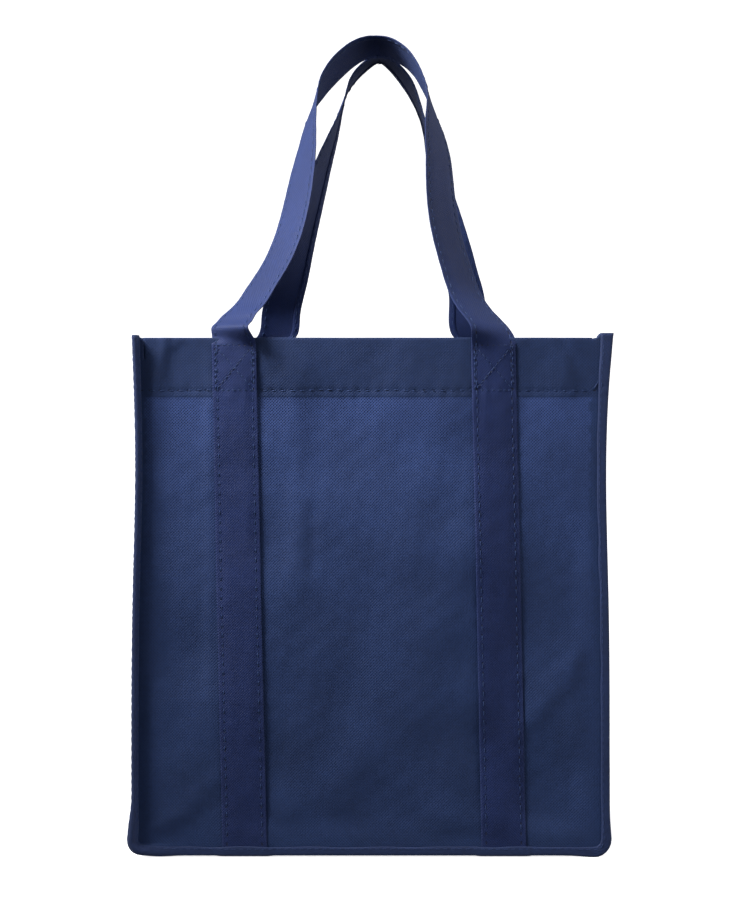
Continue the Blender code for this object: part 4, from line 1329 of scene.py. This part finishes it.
def box_lines(side, shift, rear):
    """The box and cross that fasten a strap at the rim: four sides and two diagonals."""
    corners = ((-BOX_HALF, BOX_TOP), (BOX_HALF, BOX_TOP), (BOX_HALF, BOX_FOOT), (-BOX_HALF, BOX_FOOT))
    share = np.linspace(0.0, 1.0, 40)
    lines = []
    for first, last in ((0, 1), (1, 2), (2, 3), (3, 0), (0, 2), (1, 3)):
        offset = corners[first][0] + share * (corners[last][0] - corners[first][0])
        z = corners[first][1] + share * (corners[last][1] - corners[first][1])
        x = strap_centre(z, side, shift) + offset
        crown = strap_crown(offset, z) + STRAP_TILT * np.maximum(0.0, 0.5 - side * offset / STRAP_WIDTH)
        y = -HALF_DEPTH - STRAP_OFFSET + STRAP_SINK - relief(x, z, rear) - FACE_LIFT - STRAP_PLY / 2 - crown
        lines.append((*facing(x, y, z), BOX_PITCH, BOX_STITCH))
    return lines


def hem_line(rear, inner):
    """The level row that holds a panel's hem, on its outer or its inner face."""
    x = np.linspace(HEM_LEFT, HEM_RIGHT, 200)
    z = HEM_LINE + 0.0004 * slow_waves(x, 0.0 * x, 31, 0.045)
    out = CLOTH / 2 if not inner else -CLOTH * 1.5 - GAP
    y = -HALF_DEPTH - LAYER - relief(x, z, rear) - out
    return facing(x, y, z, 1.0 if inner else -1.0)


def loose_end():
    """One loose end of thread where the hem's row meets the right tape."""
    x, z = np.linspace(0.1432, 0.1470, 12), np.linspace(0.2968, 0.3032, 12)
    y = -HALF_DEPTH - LAYER - relief(x, z) - CLOTH / 2 - 0.0003
    return *facing(x, y, z), LOOSE_PITCH, LOOSE_LENGTH


def half_stitches(rear):
    """All lines of one half of the bag: strap rows, boxes and hem."""
    path = rear_path if rear else front_path
    shift = REAR_STRAP_SHIFT if rear else FRONT_STRAP_SHIFT
    lines = []
    for across in (-ROW_AT, ROW_AT):
        lines.append((*strap_row(path, across, 1, rear), ROW_PITCH, ROW_STITCH))
        lines.append((*strap_row(path, across, -1, rear, path["loop"] > 0.5), ROW_PITCH, ROW_STITCH))
    for side in (-1, 1):
        lines += box_lines(side, shift, rear)
    for inner in (False, True):
        lines.append((*hem_line(rear, inner), ROW_PITCH, ROW_STITCH))
    if rear:
        return [(turn_round(points), turn_round(normals), *sizes) for points, normals, *sizes in lines]
    return lines + [loose_end()]


def tape_lines(shift, rear):
    """The row on each face of the tape, a little inside its edge."""
    stations = np.linspace(0.002, SEAM_LENGTH - 0.002, 900)
    seam = seam_frame(stations)
    front, back = tape_faces(seam, shift)
    angle = flange_angle(stations)
    lines = []
    for face, across in ((1.0, front + TAPE / 2), (-1.0, -back - TAPE / 2)):
        points = tape_points(seam, np.full(900, TAPE_START + TAPE_INSET), across + face * 0.00008)
        normals = np.stack([
            -seam["out_x"] * np.sin(angle), -np.cos(angle), -seam["out_z"] * np.sin(angle)], axis=1) * face
        if rear:
            points, normals = turn_round(points), turn_round(normals)
        lines.append((points, normals, TAPE_PITCH, TAPE_STITCH))
    return lines


thread = thread_finish("navy_thread", (0.022, 0.048, 0.150), 0.60)
front_stitches = stitching("front_stitches", half_stitches(False), thread, 101)
rear_stitches = stitching("rear_stitches", half_stitches(True), thread, 102)
tape_rows = tape_lines(FRONT_STRAP_SHIFT, False) + tape_lines(REAR_STRAP_SHIFT, True)
tape_stitches = stitching("tape_stitches", tape_rows, thread, 103, TAPE_THREAD)

# %% [markdown]
# A stiff board lies loose on the base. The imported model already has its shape, so it stays and only
# gets a finish: dark pressed board with a fine felt of fibres.

# %% Base board
def board_finish():
    """Pressed fibres: fine noise for tone, roughness and height on object coordinates."""
    tree = Tree("board_finish")
    place = tree.nodes.new("ShaderNodeTexCoord").outputs["Object"]
    fibres = tree.noise(place, 420.0, 4.0, (1.0, 0.35, 1.0))
    blotch = tree.noise(place, 18.0, 3.0)
    tone = tree.math("MULTIPLY", tree.ramp(fibres, 0.25, 0.75, 0.7, 1.3),
                     tree.ramp(blotch, 0.3, 0.7, 0.9, 1.1))
    tree.set("Base Color", tree.scaled((0.030, 0.031, 0.035), tone))
    tree.set("Roughness", tree.ramp(fibres, 0.2, 0.8, 0.50, 0.72))
    tree.bump(fibres, 0.4, 0.0001)
    return tree.material


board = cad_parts["base_board"]
board.data.materials.clear()
board.data.materials.append(board_finish())
print("board finish on", board.name)
